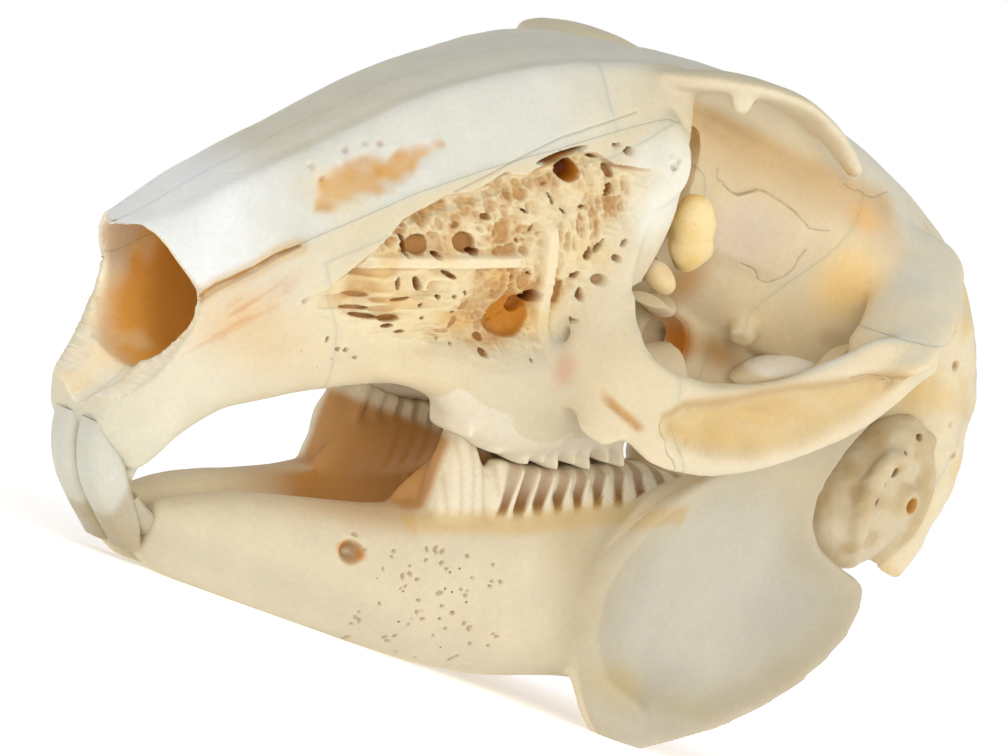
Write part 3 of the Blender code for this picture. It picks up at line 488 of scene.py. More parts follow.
def curtain(line, y_from, y_to, count=24, gap=HAIRLINE):
    """Thin upright cutter that follows a line in x and z from one side to the other."""
    line = np.array(line, float)
    reach = reach_along(line)
    where = np.linspace(0, reach[-1], count)
    spots = np.stack([np.interp(where, reach, line[:, 0]), np.interp(where, reach, line[:, 1])], axis=1)
    ahead = np.gradient(spots, axis=0)
    ahead /= np.linalg.norm(ahead, axis=1)[:, None]
    away = np.stack([-ahead[:, 1], ahead[:, 0]], axis=1) * gap / 2
    corners = []
    for y, side in ((y_from, 1), (y_to, 1), (y_to, -1), (y_from, -1)):
        edge = spots + away * side
        corners.append(np.stack([edge[:, 0], np.full(count, y), edge[:, 1]], axis=1))
    return np.stack(corners, axis=1)


def wall(x0, x1, y0, y1, z0, z1):
    """Plain box cutter as two rings of four corners."""
    ring = np.array([(y0, z0), (y1, z0), (y1, z1), (y0, z1)], float)
    return np.stack([np.column_stack([np.full(4, x), ring]) for x in (x0, x1)])


# Reading and moving whole arrays of points

def values_of(rows, word, width=1, kind=np.int32):
    """One value, or a row of width values, for each of a mesh's points, edges, faces or corners."""
    flat = np.empty(len(rows) * width, kind)
    rows.foreach_get(word, flat)
    return flat if width == 1 else flat.reshape(-1, width)


def spots_of(item):
    """Points of an object's mesh in skull millimetres."""
    return values_of(item.data.vertices, "co", 3, np.float32).astype(float) / MM


def facing(item):
    """Outward unit direction at each point."""
    return values_of(item.data.vertex_normals, "vector", 3, np.float32).astype(float)


def net_edges(item):
    """Both ends of every edge of an object's mesh."""
    return values_of(item.data.edges, "vertices", 2).T


def place(item, spots):
    """Move the points of an object's mesh to these, given in skull millimetres."""
    item.data.vertices.foreach_set("co", (spots * MM).astype(np.float32).ravel())
    item.data.update()


def step(low, high, value):
    """Smooth rise from 0 at low to 1 at high."""
    t = np.clip((value - low) / (high - low), 0, 1)
    return t * t * (3 - 2 * t)


def line_reach(x, z, line):
    """Distance in x and z to a bent line, and the share of its length where the nearest point lies."""
    line = np.array(line, float)
    a, b = line[:-1], line[1:]
    span = b - a
    length = np.linalg.norm(span, axis=1)
    start = np.r_[0, np.cumsum(length)[:-1]]
    best = np.full(x.shape, 1e9)
    share = np.zeros(x.shape)
    for (ax, az), (sx, sz), size, done in zip(a, span, length, start):
        t = np.clip(((x - ax) * sx + (z - az) * sz) / size**2, 0, 1)
        away = np.hypot(x - ax - t * sx, z - az - t * sz)
        nearer = away < best
        best = np.where(nearer, away, best)
        share = np.where(nearer, (done + t * size) / length.sum(), share)
    return best, share


def shell_labels(item):
    """One number for each closed shell, at every point: neighbours share their lowest number."""
    a, b = net_edges(item)
    label = np.arange(len(item.data.vertices))
    while True:
        low = np.minimum(label[a], label[b])
        fresh = label.copy()
        np.minimum.at(fresh, a, low)
        np.minimum.at(fresh, b, low)
        fresh = fresh[fresh]
        if (fresh == label).all():
            return label
        label = fresh


def bones_from(item, seeds):
    """Part the item into its closed shells and name each from its seed point."""
    spots, label = spots_of(item), shell_labels(item)
    kinds, counts = np.unique(label, return_counts=True)
    big = np.isin(label, kinds[counts > SMALL_SHELL])
    face_start = values_of(item.data.polygons, "loop_start")
    corner = values_of(item.data.loops, "vertex_index")
    size = np.diff(np.r_[face_start, len(corner)])
    face_label = label[corner[face_start]]
    bones = {}
    for name, seed in seeds.items():
        away = np.linalg.norm(spots - np.array(seed, float), axis=1)
        chosen = label[np.where(big, away, 1e9).argmin()]
        kept = label == chosen
        fresh_index = np.cumsum(kept) - 1
        faces = face_label == chosen
        used = np.repeat(faces, size)
        bones[name] = piece_from(name, spots[kept], fresh_index[corner[used]], size[faces])
    bpy.data.objects.remove(item, do_unlink=True)
    return bones


# Shaping with fields over all points at once

def inside_depth(x, z, outline):
    """Distance in x and z to a closed outline, positive inside and negative outside."""
    corners = np.array(outline, float)
    away, _ = line_reach(x, z, np.vstack([corners, corners[:1]]))
    inside = np.zeros(x.shape, bool)
    for (ax, az), (bx, bz) in zip(corners, np.roll(corners, -1, axis=0)):
        crosses = (az > z) != (bz > z)
        inside ^= crosses & (x < (bx - ax) * (z - az) / (bz - az + 1e-12) + ax)
    return np.where(inside, away, -away)


def melt(item, weight, rounds):
    """Move each point toward the mean of its neighbours, by its weight, for some rounds."""
    spots = spots_of(item)
    a, b = net_edges(item)
    live = weight > 0.001
    kept = live[a] | live[b]
    used, place_of = np.unique(np.r_[a[kept], b[kept]], return_inverse=True)
    half = int(kept.sum())
    ends = place_of
    others = np.r_[place_of[half:], place_of[:half]]
    part = spots[used]
    share = np.where(live, weight, 0)[used][:, None]
    many = np.bincount(ends, minlength=len(used))[:, None]
    for _ in range(rounds):
        total = np.stack([np.bincount(ends, part[others, i], len(used)) for i in range(3)], axis=1)
        part += share * (total / many - part)
    spots[used] = part
    place(item, spots)


def refine(item, chosen, cuts):
    """Split the faces between the chosen points into smaller ones."""
    a, b = net_edges(item)
    net = bmesh.new()
    net.from_mesh(item.data)
    net.edges.ensure_lookup_table()
    picked = [net.edges[i] for i in np.flatnonzero(chosen[a] & chosen[b])]
    bmesh.ops.subdivide_edges(net, edges=picked, cuts=cuts, use_grid_fill=True)
    net.to_mesh(item.data)
    net.free()
    item.data.update()


def scatter(keys, seed):
    """Settled random numbers between -1 and 1, one for each row of whole numbers."""
    mixed = np.full(keys.shape[:-1], seed * 374761393 + 97, np.int64)
    for i, big in zip(range(keys.shape[-1]), (73856093, 19349663, 83492791)):
        mixed = (mixed ^ (keys[..., i] * big)) & 0xFFFFFFFF
        mixed = (mixed * 1274126177 + 12345) & 0xFFFFFFFF
        mixed ^= mixed >> 15
    return mixed / 2.0**31 - 1


def grain(spots, size, seed=0):
    """Soft noise: random heights on a cubic grid of this size in mm, blended smoothly between its corners."""
    cell = spots / size
    low = np.floor(cell).astype(np.int64)
    part = cell - low
    part = part * part * (3 - 2 * part)
    total = np.zeros(len(spots))
    for corner in np.ndindex(2, 2, 2):
        weight = np.prod(np.where(np.array(corner), part, 1 - part), axis=1)
        total += weight * scatter(low + np.array(corner), seed)
    return total


def cells(u, v, seed=0):
    """Distances to the nearest and the next of scattered points, one in each unit square."""
    home = np.stack([np.floor(u), np.floor(v)], axis=-1).astype(np.int64)
    first = np.full(u.shape, 9.0)
    second = np.full(u.shape, 9.0)
    for shift in np.ndindex(3, 3):
        square = home + np.array(shift) - 1
        away = np.hypot(u - square[..., 0] - 0.5 - 0.45 * scatter(square, seed),
                        v - square[..., 1] - 0.5 - 0.45 * scatter(square, seed + 1))
        nearer = away < first
        second = np.where(nearer, first, np.minimum(second, away))
        first = np.where(nearer, away, first)
    return first, second


def dab(spots, centre, radii, core=0.3):
    """Soft spot: 1 in its core and falling to 0 at the radii."""
    away = np.sqrt((((spots - np.array(centre, float)) / np.array(radii, float)) ** 2).sum(axis=1))
    return 1 - step(core, 1.0, away)


def pit_dabs(spots, pits, grow, core, across=None):
    """Depth and soft spot of each pit, its radius grown by a factor; across is its reach along Y."""
    for x, y, z, radius, deep in pits:
        wide = radius * grow
        yield deep, dab(spots, (x, y, z), (wide, across or wide, wide), core)


def gaps(run, rise, offset, long, high, seed):
    """Share of open space between winding struts, which lie where soft noise crosses zero; sizes in mm."""
    spots = np.stack([run / long + offset, rise / high, offset + 0.5], axis=1)
    return step(0.07, 0.4, np.abs(grain(spots, 1.0, seed)))


def lattice_axes(x, z):
    """Places along and across the bars of the honeycomb."""
    run = 0.923 * (x + 13.3) + 0.386 * (z - 32.5)
    rise = 0.94 * (z - 32.5) - 0.342 * (x + 13.3)
    return run, rise


def honeycomb(spots):
    """Share of the honeycombed field, depth below its struts and depth of its windows, in mm, at each point.

    The field is sunk below its upper edge and fades at its lower one. Its struts are the borders of
    scattered cells, long ones low in front and round ones elsewhere, and two bars cross it.
    """
    x, y, z = spots.T
    right = y > 0
    run, rise = lattice_axes(x, z)
    within = inside_depth(x, z, LATTICE)
    top, _ = line_reach(x, z, LATTICE_TOP)
    low, _ = line_reach(x, z, LATTICE_LOW)
    field = (within > 0) * step(0.0, 2.6, low)
    bend = 0.25 * grain(spots, 1.4, 5)
    long_zone = step(3.0, 7.0, -run) * step(-0.6, 1.0, -rise)
    offset = np.where(right, 40.3, 0.0)
    upright = step(0.5, 3.0, run) * (1 - long_zone)
    open_pit = 0.3 * gaps(run, rise, offset, 0.95, 0.85, 3) + 0.16 * gaps(run, rise, offset, 0.5, 0.45, 11)
    tall_pit = 0.3 * gaps(run, rise, offset, 0.6, 1.5, 5) + 0.14 * gaps(run, rise, offset, 0.42, 0.6, 17)
    long_pit = 0.34 * gaps(run, rise + bend, offset, 2.4, 0.42, 7)
    pit = (1 - long_zone) * ((1 - upright) * open_pit + upright * tall_pit) + long_zone * long_pit
    near, far = cells((run + bend) / 0.9 + offset, (rise + bend) / 0.8, 3)
    pit += 0.12 * (1 - long_zone) * step(0.1, 0.42, far - near)
    pit *= 0.45 + 0.55 * step(-0.7, 0.6, grain(spots, 1.7, 23))
    hollow = 0.4 * step(-0.4, 0.8, grain(spots, 2.6, 21))
    flat_bar = 1 - step(0.3, 0.62, np.abs(rise - 0.05))
    flat_bar = flat_bar * step(-15.0, -12.0, run) * (1 - step(-1.5, 1.0, run))
    tall_bar = (1 - step(0.36, 0.66, np.abs(run - 2.1))) * (1 - step(2.2, 3.4, rise))
    bar = np.maximum(flat_bar, tall_bar)
    depth = field * (0.5 * step(0.0, 0.34, top) + (pit + hollow) * step(0.1, 0.7, top)) * (1 - 0.8 * bar)
    window = np.zeros(len(x))
    for u, v, long, high, turn, deep in WINDOWS:
        c, s = np.cos(np.radians(turn)), np.sin(np.radians(turn))
        du = run - u - np.where(right, 1.3, 0.0)
        dv = rise - v
        away = np.hypot((du * c + dv * s) / long, (dv * c - du * s) / high)
        window = np.maximum(window, deep * (1 - step(0.72, 1.12, away)))
    window *= within > -2.0
    return field, depth, window


# Bones

def bite_line(x):
    """Height of the biting edge of the cheek teeth above the floor."""
    return np.interp(x, (-14, -8, -4, 0, 8), (18.6, 18.0, 17.9, 18.8, 21.8))


def tooth_column(root, tip, root_size, tip_size, ribs=4):
    """Upright tooth: an oval with shallow waves, carried from its root to its tip.

    The sizes are its half length and half width.
    """
    turn = np.linspace(0, 2 * np.pi, 32, endpoint=False)
    wave = 1 + 0.08 * np.cos(ribs * turn)
    rise = np.linspace(0, 1, 16)[:, None]
    long = root_size[0] + (tip_size[0] - root_size[0]) * rise
    wide = root_size[1] + (tip_size[1] - root_size[1]) * rise
    middle = np.array(root, float) + (np.array(tip, float) - root) * rise
    return np.stack([middle[:, :1] + long * np.cos(turn) * wave, middle[:, 1:2] + wide * np.sin(turn) * wave,
                     middle[:, 2:] + 0 * turn], axis=2)


def tooth_wave(x, z):
    """Wave from -1 to 1 that leans with the lower cheek teeth."""
    return np.cos(2 * np.pi * (x + 0.42 * (z - 11.0)) / WAVE_STEP)


def upper_cheek_teeth():
    """Leaning plates in a row, their tips jagged: each second one is a little longer."""
    teeth = []
    for k in range(11):
        x = -13.2 + TOOTH_STEP * k
        tip = float(bite_line(x + 1.5)) + (0.35 if k % 2 else -0.15)
        teeth.append(tooth_column((x - 1.6, -8.4, tip + 6.0), (x + 1.2, -8.8, tip), (0.9, 2.4), (0.85, 2.6)))
    return teeth


def lower_cheek_teeth():
    """A broad wedge in front and then narrow ribs, up to the biting line."""
    teeth = [rod([(-7.6, -7.6, 10.6), (-8.2, -7.6, 13.2), (-9.4, -7.7, 16.2), (-10.4, -7.7, 18.6)],
                 [(2.3, 3.5), (2.2, 2.9), (1.9, 1.9), (1.0, 0.7)], 40, 48, 2.4, up=(1, 0, 0)),
             rod([(-5.2, -8.6, 11.6), (-5.6, -8.8, 14.0), (-6.4, -8.6, 17.4)],
                 [(1.6, 1.2), (1.5, 1.0), (0.9, 0.6)], 30, 32, up=(1, 0, 0))]
    for k in range(6):
        x = -9.2 + TOOTH_STEP * k
        teeth.append(tooth_column((x, -6.3, 11.0), (x - 0.3, -6.1, float(bite_line(x)) + 1.2),
                                  (0.8, 1.1), (0.76, 0.9)))
    for k in range(9):
        x = -4.6 + TOOTH_STEP * k
        y = -7.9 - 0.12 * (x + 9)
        teeth.append(tooth_column((x, y, 9.0 + 0.35 * (x + 9)), (x - 0.4, y, float(bite_line(x)) - 0.3),
                                  (0.82, 2.3), (0.8, 2.1)))
    return teeth


def cranium_shells():
    """Masses of the upper skull: its long hulls, and each side's cheek, eye socket rims and ear wall."""
    column = np.array(CHEEK_COLUMN)
    sweep = np.array(CHEEK_SWEEP)
    left = [
        table_rod(ARCH),
        table_rod(ORBIT_SHELF),
        table_rod(UPPER_GUM),
        rod(column[:, :3], column[:, 3:], 90, 48, 2.2, up=COLUMN_OUT),
        rod(sweep[:, :3], sweep[:, 3:], 90, 48, 2.2, up=COLUMN_OUT),
        egg((-7.4, -9.0, 23.6), (8.6, 4.9, 5.2), turn_y=-10),
        egg((-7.2, -9.0, 21.6), (6.6, 4.6, 3.6), turn_y=-8),
        rod([(27.0, -10.6, 45.6), (24.8, -14.4, 43.0), (22.2, -17.2, 40.0), (19.6, -19.0, 36.8),
             (17.8, -19.8, 34.4)],
            [(4.6, 3.0), (4.2, 2.3), (4.0, 1.5), (3.6, 1.0), (2.2, 0.8)]),
        egg((0.7, -12.3, 50.8), (1.1, 0.7, 1.1)),
        rod([(16.6, -5.2, 38.4), (15.6, -6.4, 36.0), (14.8, -7.6, 33.6)],
            [(2.4, 1.6), (1.7, 1.4), (1.1, 1.0)], up=(0, 1, 0)),
        rod([(4.0, -4.0, 29.0), (12.0, -4.4, 29.0), (20.0, -5.2, 30.0)],
            [(1.0, 4.0), (0.8, 5.2), (0.8, 3.0)]),
        rod([(32.6, -10.4, 38.5), (34.8, -11.8, 33.0), (36.6, -12.2, 27.0), (36.7, -11.6, 20.2)],
            [(3.0, 4.6), (2.7, 4.2), (1.8, 3.0), (0.8, 1.3)], up=(1, 0, 0)),
        rod([(31.0, -9.4, 45.0), (35.0, -10.7, 40.0), (38.0, -11.6, 33.4)],
            [(2.2, 2.6), (2.2, 2.4), (1.7, 1.9)], up=(1, 0, 0)),
        egg((42.4, -4.4, 29.6), (2.6, 2.2, 3.4)),
    ]
    left += upper_cheek_teeth()
    return pair(left) + [
        hull(ROSTRUM),
        hull(VAULT),
        rod([(2.0, 0, 29.5), (14.0, 0, 31.0), (26.0, 0, 30.0), (42.0, 0, 29.0)],
            [(2.4, 2.0), (2.8, 1.8), (4.6, 2.0), (3.6, 1.8)]),
        rod([(36.0, 0, 47.0), (41.0, 0, 44.6), (44.4, 0, 41.4)], [(4.4, 1.8), (3.6, 1.8), (2.4, 1.4)]),
    ]


def socket_shells():
    """Small forms added once the hollows are cut: the lobes, shelf, plate and lens in the eye socket."""
    return pair([
        egg((2.7, -9.8, 41.2), (1.7, 1.4, 1.8), turn_y=-14, rows=24, around=36),
        egg((3.2, -9.7, 40.1), (2.0, 1.6, 2.3), turn_y=-14, rows=24, around=36),
        egg((3.7, -9.6, 39.0), (2.0, 1.6, 2.2), turn_y=-14, rows=24, around=36),
        rod([(4.6, -4.5, 41.0), (3.9, -7.4, 40.8), (3.2, -9.4, 40.2)],
            [(1.5, 2.0), (1.4, 2.0), (1.2, 1.6)], 16, 24),
        egg((1.0, -10.6, 35.5), (1.7, 1.3, 1.0), turn_y=24, rows=24, around=36),
        rod([(3.4, -4.6, 36.6), (2.4, -7.6, 36.0), (1.2, -10.4, 35.5)],
            [(1.0, 1.2), (1.0, 1.0), (0.9, 0.8)], 16, 24),
        rod([(0.6, -10.6, 33.6), (3.4, -9.0, 33.5), (6.0, -6.6, 33.6), (8.6, -3.6, 34.0)],
            [(1.5, 0.5), (1.3, 0.6), (1.3, 0.8), (1.6, 1.2)], 30, 24),
        rod([(-0.4, -11.9, 34.2), (-0.2, -11.6, 31.6), (0.2, -11.2, 28.4)],
            [(1.5, 0.35), (1.6, 0.35), (1.4, 0.3)], 24, 24, up=COLUMN_OUT),
        egg((20.0, -7.6, 32.8), (5.0, 2.2, 1.05), turn_y=-28, rows=24, around=40),
    ])


def bulla_shells():
    """Ear bulb: a leaning egg and its neck, a scroll round the ear opening and a bony strut behind it."""
    return [
        egg((31.0, -10.8, 25.0), (4.9, 4.2, 6.5), turn_y=24),
        rod([(31.2, -11.0, 26.6), (32.0, -12.0, 30.0), (32.8, -12.8, 32.8)],
            [(3.3, 3.5), (2.8, 3.2), (1.8, 2.2)], up=(1, 0, 0)),
        rod([(32.0, -13.2, 30.2), (29.6, -14.1, 28.9), (28.4, -14.5, 26.4), (28.6, -14.5, 23.4),
             (30.2, -14.0, 20.9)],
            [(0.7, 0.8), (0.8, 0.9), (0.9, 1.0), (0.9, 0.9), (0.5, 0.6)]),
        rod([(32.7, -11.5, 26.2), (32.9, -14.0, 26.2), (33.1, -15.1, 26.2)],
            [(1.7, 1.7), (1.5, 1.5), (1.2, 1.2)]),
        rod([(33.6, -13.2, 30.6), (35.0, -13.6, 27.4), (35.2, -13.2, 23.8), (34.0, -12.4, 20.6)],
            [(1.3, 1.2), (1.2, 1.1), (1.1, 0.9), (0.6, 0.5)]),
        egg((30.6, -14.2, 29.4), (1.1, 0.9, 1.0)),
        egg((31.6, -14.0, 22.8), (1.3, 0.8, 1.0)),
    ]


def shape_bulla(bulla):
    """Melt the parts of the ear bulb together, roughen it, and sink its ear opening and small holes."""
    melt(bulla, np.full(len(bulla.data.vertices), 0.5), 14)
    spots = spots_of(bulla)
    refine(bulla, spots[:, 1] < -12.0, 1)
    spots = spots_of(bulla)
    ripple = 0.16 * grain(spots, 1.6, 91) + 0.07 * grain(spots, 0.7, 92)
    ripple -= 1.2 * dab(spots, (33.1, -15.4, 26.2), (0.75, 1.2, 0.75), 0.4)
    for deep, spot in pit_dabs(spots, PITS, 1.3, 0.2, across=1.2):
        ripple -= deep * spot
    place(bulla, spots + ripple[:, None] * facing(bulla))


def incisor(line, side_y, half_wide, half_deep, tip=0.4):
    """Curved chisel of one width that thins to its cutting edge."""
    path = [(x, -side_y, z) for x, z in line]
    depths = [half_deep] * (len(line) - 3) + [half_deep * 0.9, half_deep * 0.7, half_deep * tip]
    return rod(path, [(half_wide, d) for d in depths], 90, 64, power=3.0)


def jaw_shells():
    """Masses of the left half of the lower jaw: teeth, bar, inner shelf, upright plate and joint knob."""
    def stand(x, z, share):
        """Y of the plate's middle: it bulges outwards toward its heel."""
        low = np.clip((24.0 - z) / 20.0, 0, 1)
        rear = np.clip((x - 2.0) / 8.0, 0, 1)
        return -13.0 - 2.6 * low * rear * (1 - share) ** 2 - 0.5 * (1 - low)

    return lower_cheek_teeth() + [
        table_rod(JAW_BAR, 2.5),
        rod([(-11.4, -5.2, 9.4), (-10.0, -5.3, 11.6), (-8.0, -5.4, 13.6), (-4.0, -5.7, 15.4),
             (2.0, -6.6, 17.4), (8.0, -7.8, 19.6)],
            [(0.8, 1.2), (1.0, 2.0), (1.1, 2.5), (1.2, 2.4), (1.1, 2.1), (0.9, 1.8)]),
        plate(JAW_PLATE, stand, lambda share: 0.62 + 0.5 * (1 - share) ** 3),
        egg((23.4, -14.2, 36.4), (4.2, 1.7, 1.4), turn_y=-14),
    ]


def upright_cutter(outline, y_from, y_to):
    """Outline in x and z carried straight across from one side to the other."""
    corners = np.array(outline, float)
    return np.stack([np.stack([corners[:, 0], np.full(len(corners), y), corners[:, 1]], axis=1)
                     for y in (y_from, y_to)])


def notch_edge():
    """Outline of the nose opening from the side, smooth but with the small chips of a broken edge."""
    edge = closed_curve(NOSE_NOTCH, 150)
    chips = grain(np.column_stack([edge, np.zeros(len(edge))]), 1.3, 15)
    return edge + 0.12 * chips[:, None] * (edge[:, :1] > -42.0) * (edge[:, 1:] > 17.0)


def shape_cranium(whole):
    """Melt the creases between masses, ripple the surface, and sink pits, honeycomb and the arch's hollow."""
    spots = spots_of(whole)
    x, y, z = spots.T
    side = np.abs(y)
    cheek = np.exp(-(((x + 4.5) / 6.5) ** 2 + ((z - 28) / 9) ** 2)) * step(9, 11, side)
    back = step(26, 30, x) * step(7, 9, side) * step(22, 26, z)
    socket = step(0, 3, x) * (1 - step(22, 26, x)) * (1 - step(14, 15, side)) * step(30, 33, z)
    rim = step(-6.5, -4.5, x) * step(29, 31, z) * (1 - step(17, 19, side))
    melt(whole, 0.5 * np.clip(0.15 + cheek * (1 - 0.6 * rim), 0, 1), 20)
    spine = step(20.5, 23.5, z)
    process = step(15, 18, x) * (1 - step(27, 30, x)) * step(10, 12, side) * step(36.5, 39, z)
    process *= 1 - 0.6 * step(16.5, 18.5, side)
    masses = [cheek * (1 - rim) * spine, back, 0.8 * socket * (1 - rim), 0.8 * process]
    melt(whole, 0.5 * np.maximum.reduce(masses), 110)
    carve(whole, socket_shells(), "UNION")
    spots = spots_of(whole)
    x, y, z = spots.T
    side = np.abs(y)
    outer = inside_depth(x, z, LATTICE) > -0.6
    lateral = np.sign(y) * facing(whole)[:, 1]
    slit = (line_reach(x, z, NOSE_SLIT)[0] < 0.7) & (side > 4.5)
    cracked = (crack_reach(spots) < 0.42) & ~outer
    refine(whole, (outer & (lateral > 0.3) & (side > 5.5)) | cracked | slit, 2)
    spots = spots_of(whole)
    outward = facing(whole)
    x, y, z = spots.T
    side = np.abs(y)
    lateral = np.sign(y) * outward[:, 1]
    ripple = 0.1 * grain(spots, 5.0, 1) + 0.045 * grain(spots, 1.9, 2)
    hollow = step(-0.9, 1.1, inside_depth(x, z, ARCH_HOLLOW)) * step(0.2, 0.6, lateral) * step(17, 18, side)
    ridge = 0.25 * np.exp(-(line_reach(x, z, ((1.0, 26.6), (5.0, 28.0), (8.0, 28.4)))[0] / 0.5) ** 2)
    ripple -= hollow * (0.8 - ridge + 0.26 * grain(spots * (0.6, 1, 1), 1.5, 4))
    ripple -= 0.35 * (np.exp(-(line_reach(x, z, CHEEK_SLIT)[0] / 0.3) ** 2) * step(16.5, 17.5, side))
    reach, share = line_reach(x, z, NOSE_SLIT)
    widening = np.interp(share, (0, 0.5, 1), (1.3, 0.9, 0.35))
    ripple -= 0.32 * ((1 - step(0.1, 0.34, reach / widening)) * step(0.1, 0.4, lateral))
    ripple -= 0.04 * (1 - step(0.04, 0.16, crack_reach(spots)))
    rugged = step(26, 31, x) * step(6, 9, side)
    ripple += rugged * (0.2 * grain(spots, 2.6, 12) + 0.12 * grain(spots, 1.1, 13))
    amber = step(-0.5, 0.5, inside_depth(x, z, THIN_BONE)) * step(0.2, 0.5, lateral)
    ripple -= 0.22 * amber
    left = np.stack([x, -side, z], axis=1)
    lumpy = dab(left, (2.4, -9.6, 37.4), (4.4, 3.4, 7.0), 0.8) * (x > -0.6)
    ripple += 0.2 * lumpy * grain(spots, 1.3, 66)
    seam_side = (z - np.interp(x, *np.array(SOCKET_SEAM).T)) < 0
    bulge = seam_side * step(5.5, 7.0, x) * (1 - step(13.6, 14.8, x)) * step(38.4, 40.0, z) * (side < 12.5)
    ripple += 0.3 * bulge
    for deep, spot in pit_dabs(left, PITS, 1.3, 0.2):
        ripple -= deep * spot
    spots = spots + ripple[:, None] * outward
    field, depth, window = honeycomb(spots)
    rough = 0.07 * grain(spots, 0.42, 8) * field
    sunk = (np.maximum(depth, window) + rough) * (lateral > 0.12) * (side > 5.2)
    spots[:, 1] -= np.sign(y) * sunk
    place(whole, spots)


def jaw_pits(x, z):
    """Share of small stretched pits, scattered by chance over the side of the lower jaw, at each x and z."""
    deep = np.zeros(x.shape)
    keys = np.stack([np.arange(JAW_PITS), np.ones(JAW_PITS, int)], axis=1)
    chance = np.stack([scatter(keys, seed) for seed in (5, 6, 7, 8)], axis=1)
    for across, upward, size, turn in chance:
        px, pz = -9.2 + 6.6 * across - 1.5 * upward, 5.0 + 4.8 * upward
        radius = 0.13 + 0.06 * size
        c, s = np.cos(1.2 * turn), np.sin(1.2 * turn)
        away = np.hypot(((x - px) * c + (z - pz) * s) / 1.6, (z - pz) * c - (x - px) * s) / radius
        deep = np.maximum(deep, 1 - step(0.5, 1.15, away))
    return deep


def shape_jaw(jaw):
    """Sink the outer face of the upright plate behind its curved ridge, and melt the creases."""
    x, y, z = spots_of(jaw).T
    melt(jaw, 0.5 * np.clip(step(-4, 3, x) * (1 - step(26, 32, z)) * step(9.5, 11, -y) + 0.1, 0, 1), 40)
    spots = spots_of(jaw)
    pitted = np.hypot((spots[:, 0] + 9.5) / 9.5, (spots[:, 2] - 5.0) / 6.5) < 1
    refine(jaw, (facing(jaw)[:, 1] < -0.2) & pitted, 1)
    spots = spots_of(jaw)
    outward = facing(jaw)
    x, y, z = spots.T
    outer = step(0.2, 0.6, -outward[:, 1])
    ripple = 0.1 * grain(spots, 5.0, 31) + 0.04 * grain(spots, 1.9, 32)
    away, _ = line_reach(x, z, JAW_RIDGE)
    ripple += outer * 0.5 * np.exp(-(away / 0.8) ** 2)
    plate_in = inside_depth(x, z, JAW_FOSSA)
    ripple -= outer * 0.55 * step(0.4, 3.0, plate_in)
    for deep, spot in pit_dabs(spots, PITS, 1.2, 0.2):
        ripple -= deep * spot
    ripple -= 0.22 * outer * jaw_pits(x, z)
    wedge = step(11.4, 12.6, z) * (1 - step(17.6, 18.4, z)) * step(-14, -12, x)
    wedge = wedge * (1 - step(-6.6, -5.6, x)) * outer
    ripple += 0.06 * wedge * tooth_wave(x, z)
    place(jaw, spots + ripple[:, None] * outward)


def build_cranium():
    """Upper skull in one piece, its nose, neck opening, eye sockets and jaw sockets cut out."""
    whole = grown("cranium", cranium_shells())
    carve(whole, [
        rod([(-48.0, 0, 16.6), (-44.0, 0, 16.8), (-42.2, 0, 17.6), (-41.0, 0, 18.4), (-39.5, 0, 19.2),
             (-37.0, 0, 20.6), (-33.0, 0, 23.4), (-28.0, 0, 26.6)],
            [(3.2, 4.2), (3.5, 4.2), (4.0, 4.9), (4.7, 5.2), (5.6, 5.9), (6.1, 6.3), (5.9, 6.0), (3.4, 4.0)]),
        rod([(-42.0, 0, 19.6), (-42.0, 0, 15.5), (-42.1, 0, 12.6), (-42.4, 0, 10.2)],
            [(5.4, 6.0), (4.2, 5.4), (2.9, 3.9), (1.7, 2.0)], up=(1, 0, 0)),
        upright_cutter(notch_edge(), -12, 12),
        rod([(50.0, 0, 34.5), (42.0, 0, 35.0), (33.0, 0, 37.0)], [(4.6, 4.2), (4.6, 4.2), (5.5, 5.0)]),
    ] + pair([
        egg((0.8, -7.8, 38.2), (4.0, 4.4, 9.6)),
        egg((-0.4, -10.6, 32.2), (3.8, 2.3, 3.0)),
        egg((9.2, -6.0, 31.2), (2.6, 2.8, 2.6)),
        egg((23.4, -14.2, 36.4), (4.5, 2.0, 1.7), turn_y=-14),
        rod([(22.0, -14.0, 30.0), (23.4, -14.1, 36.0)], [(1.6, 3.8), (1.7, 3.8)], 8, 24, up=(1, 0, 0)),
    ]))
    shape_cranium(whole)
    return whole


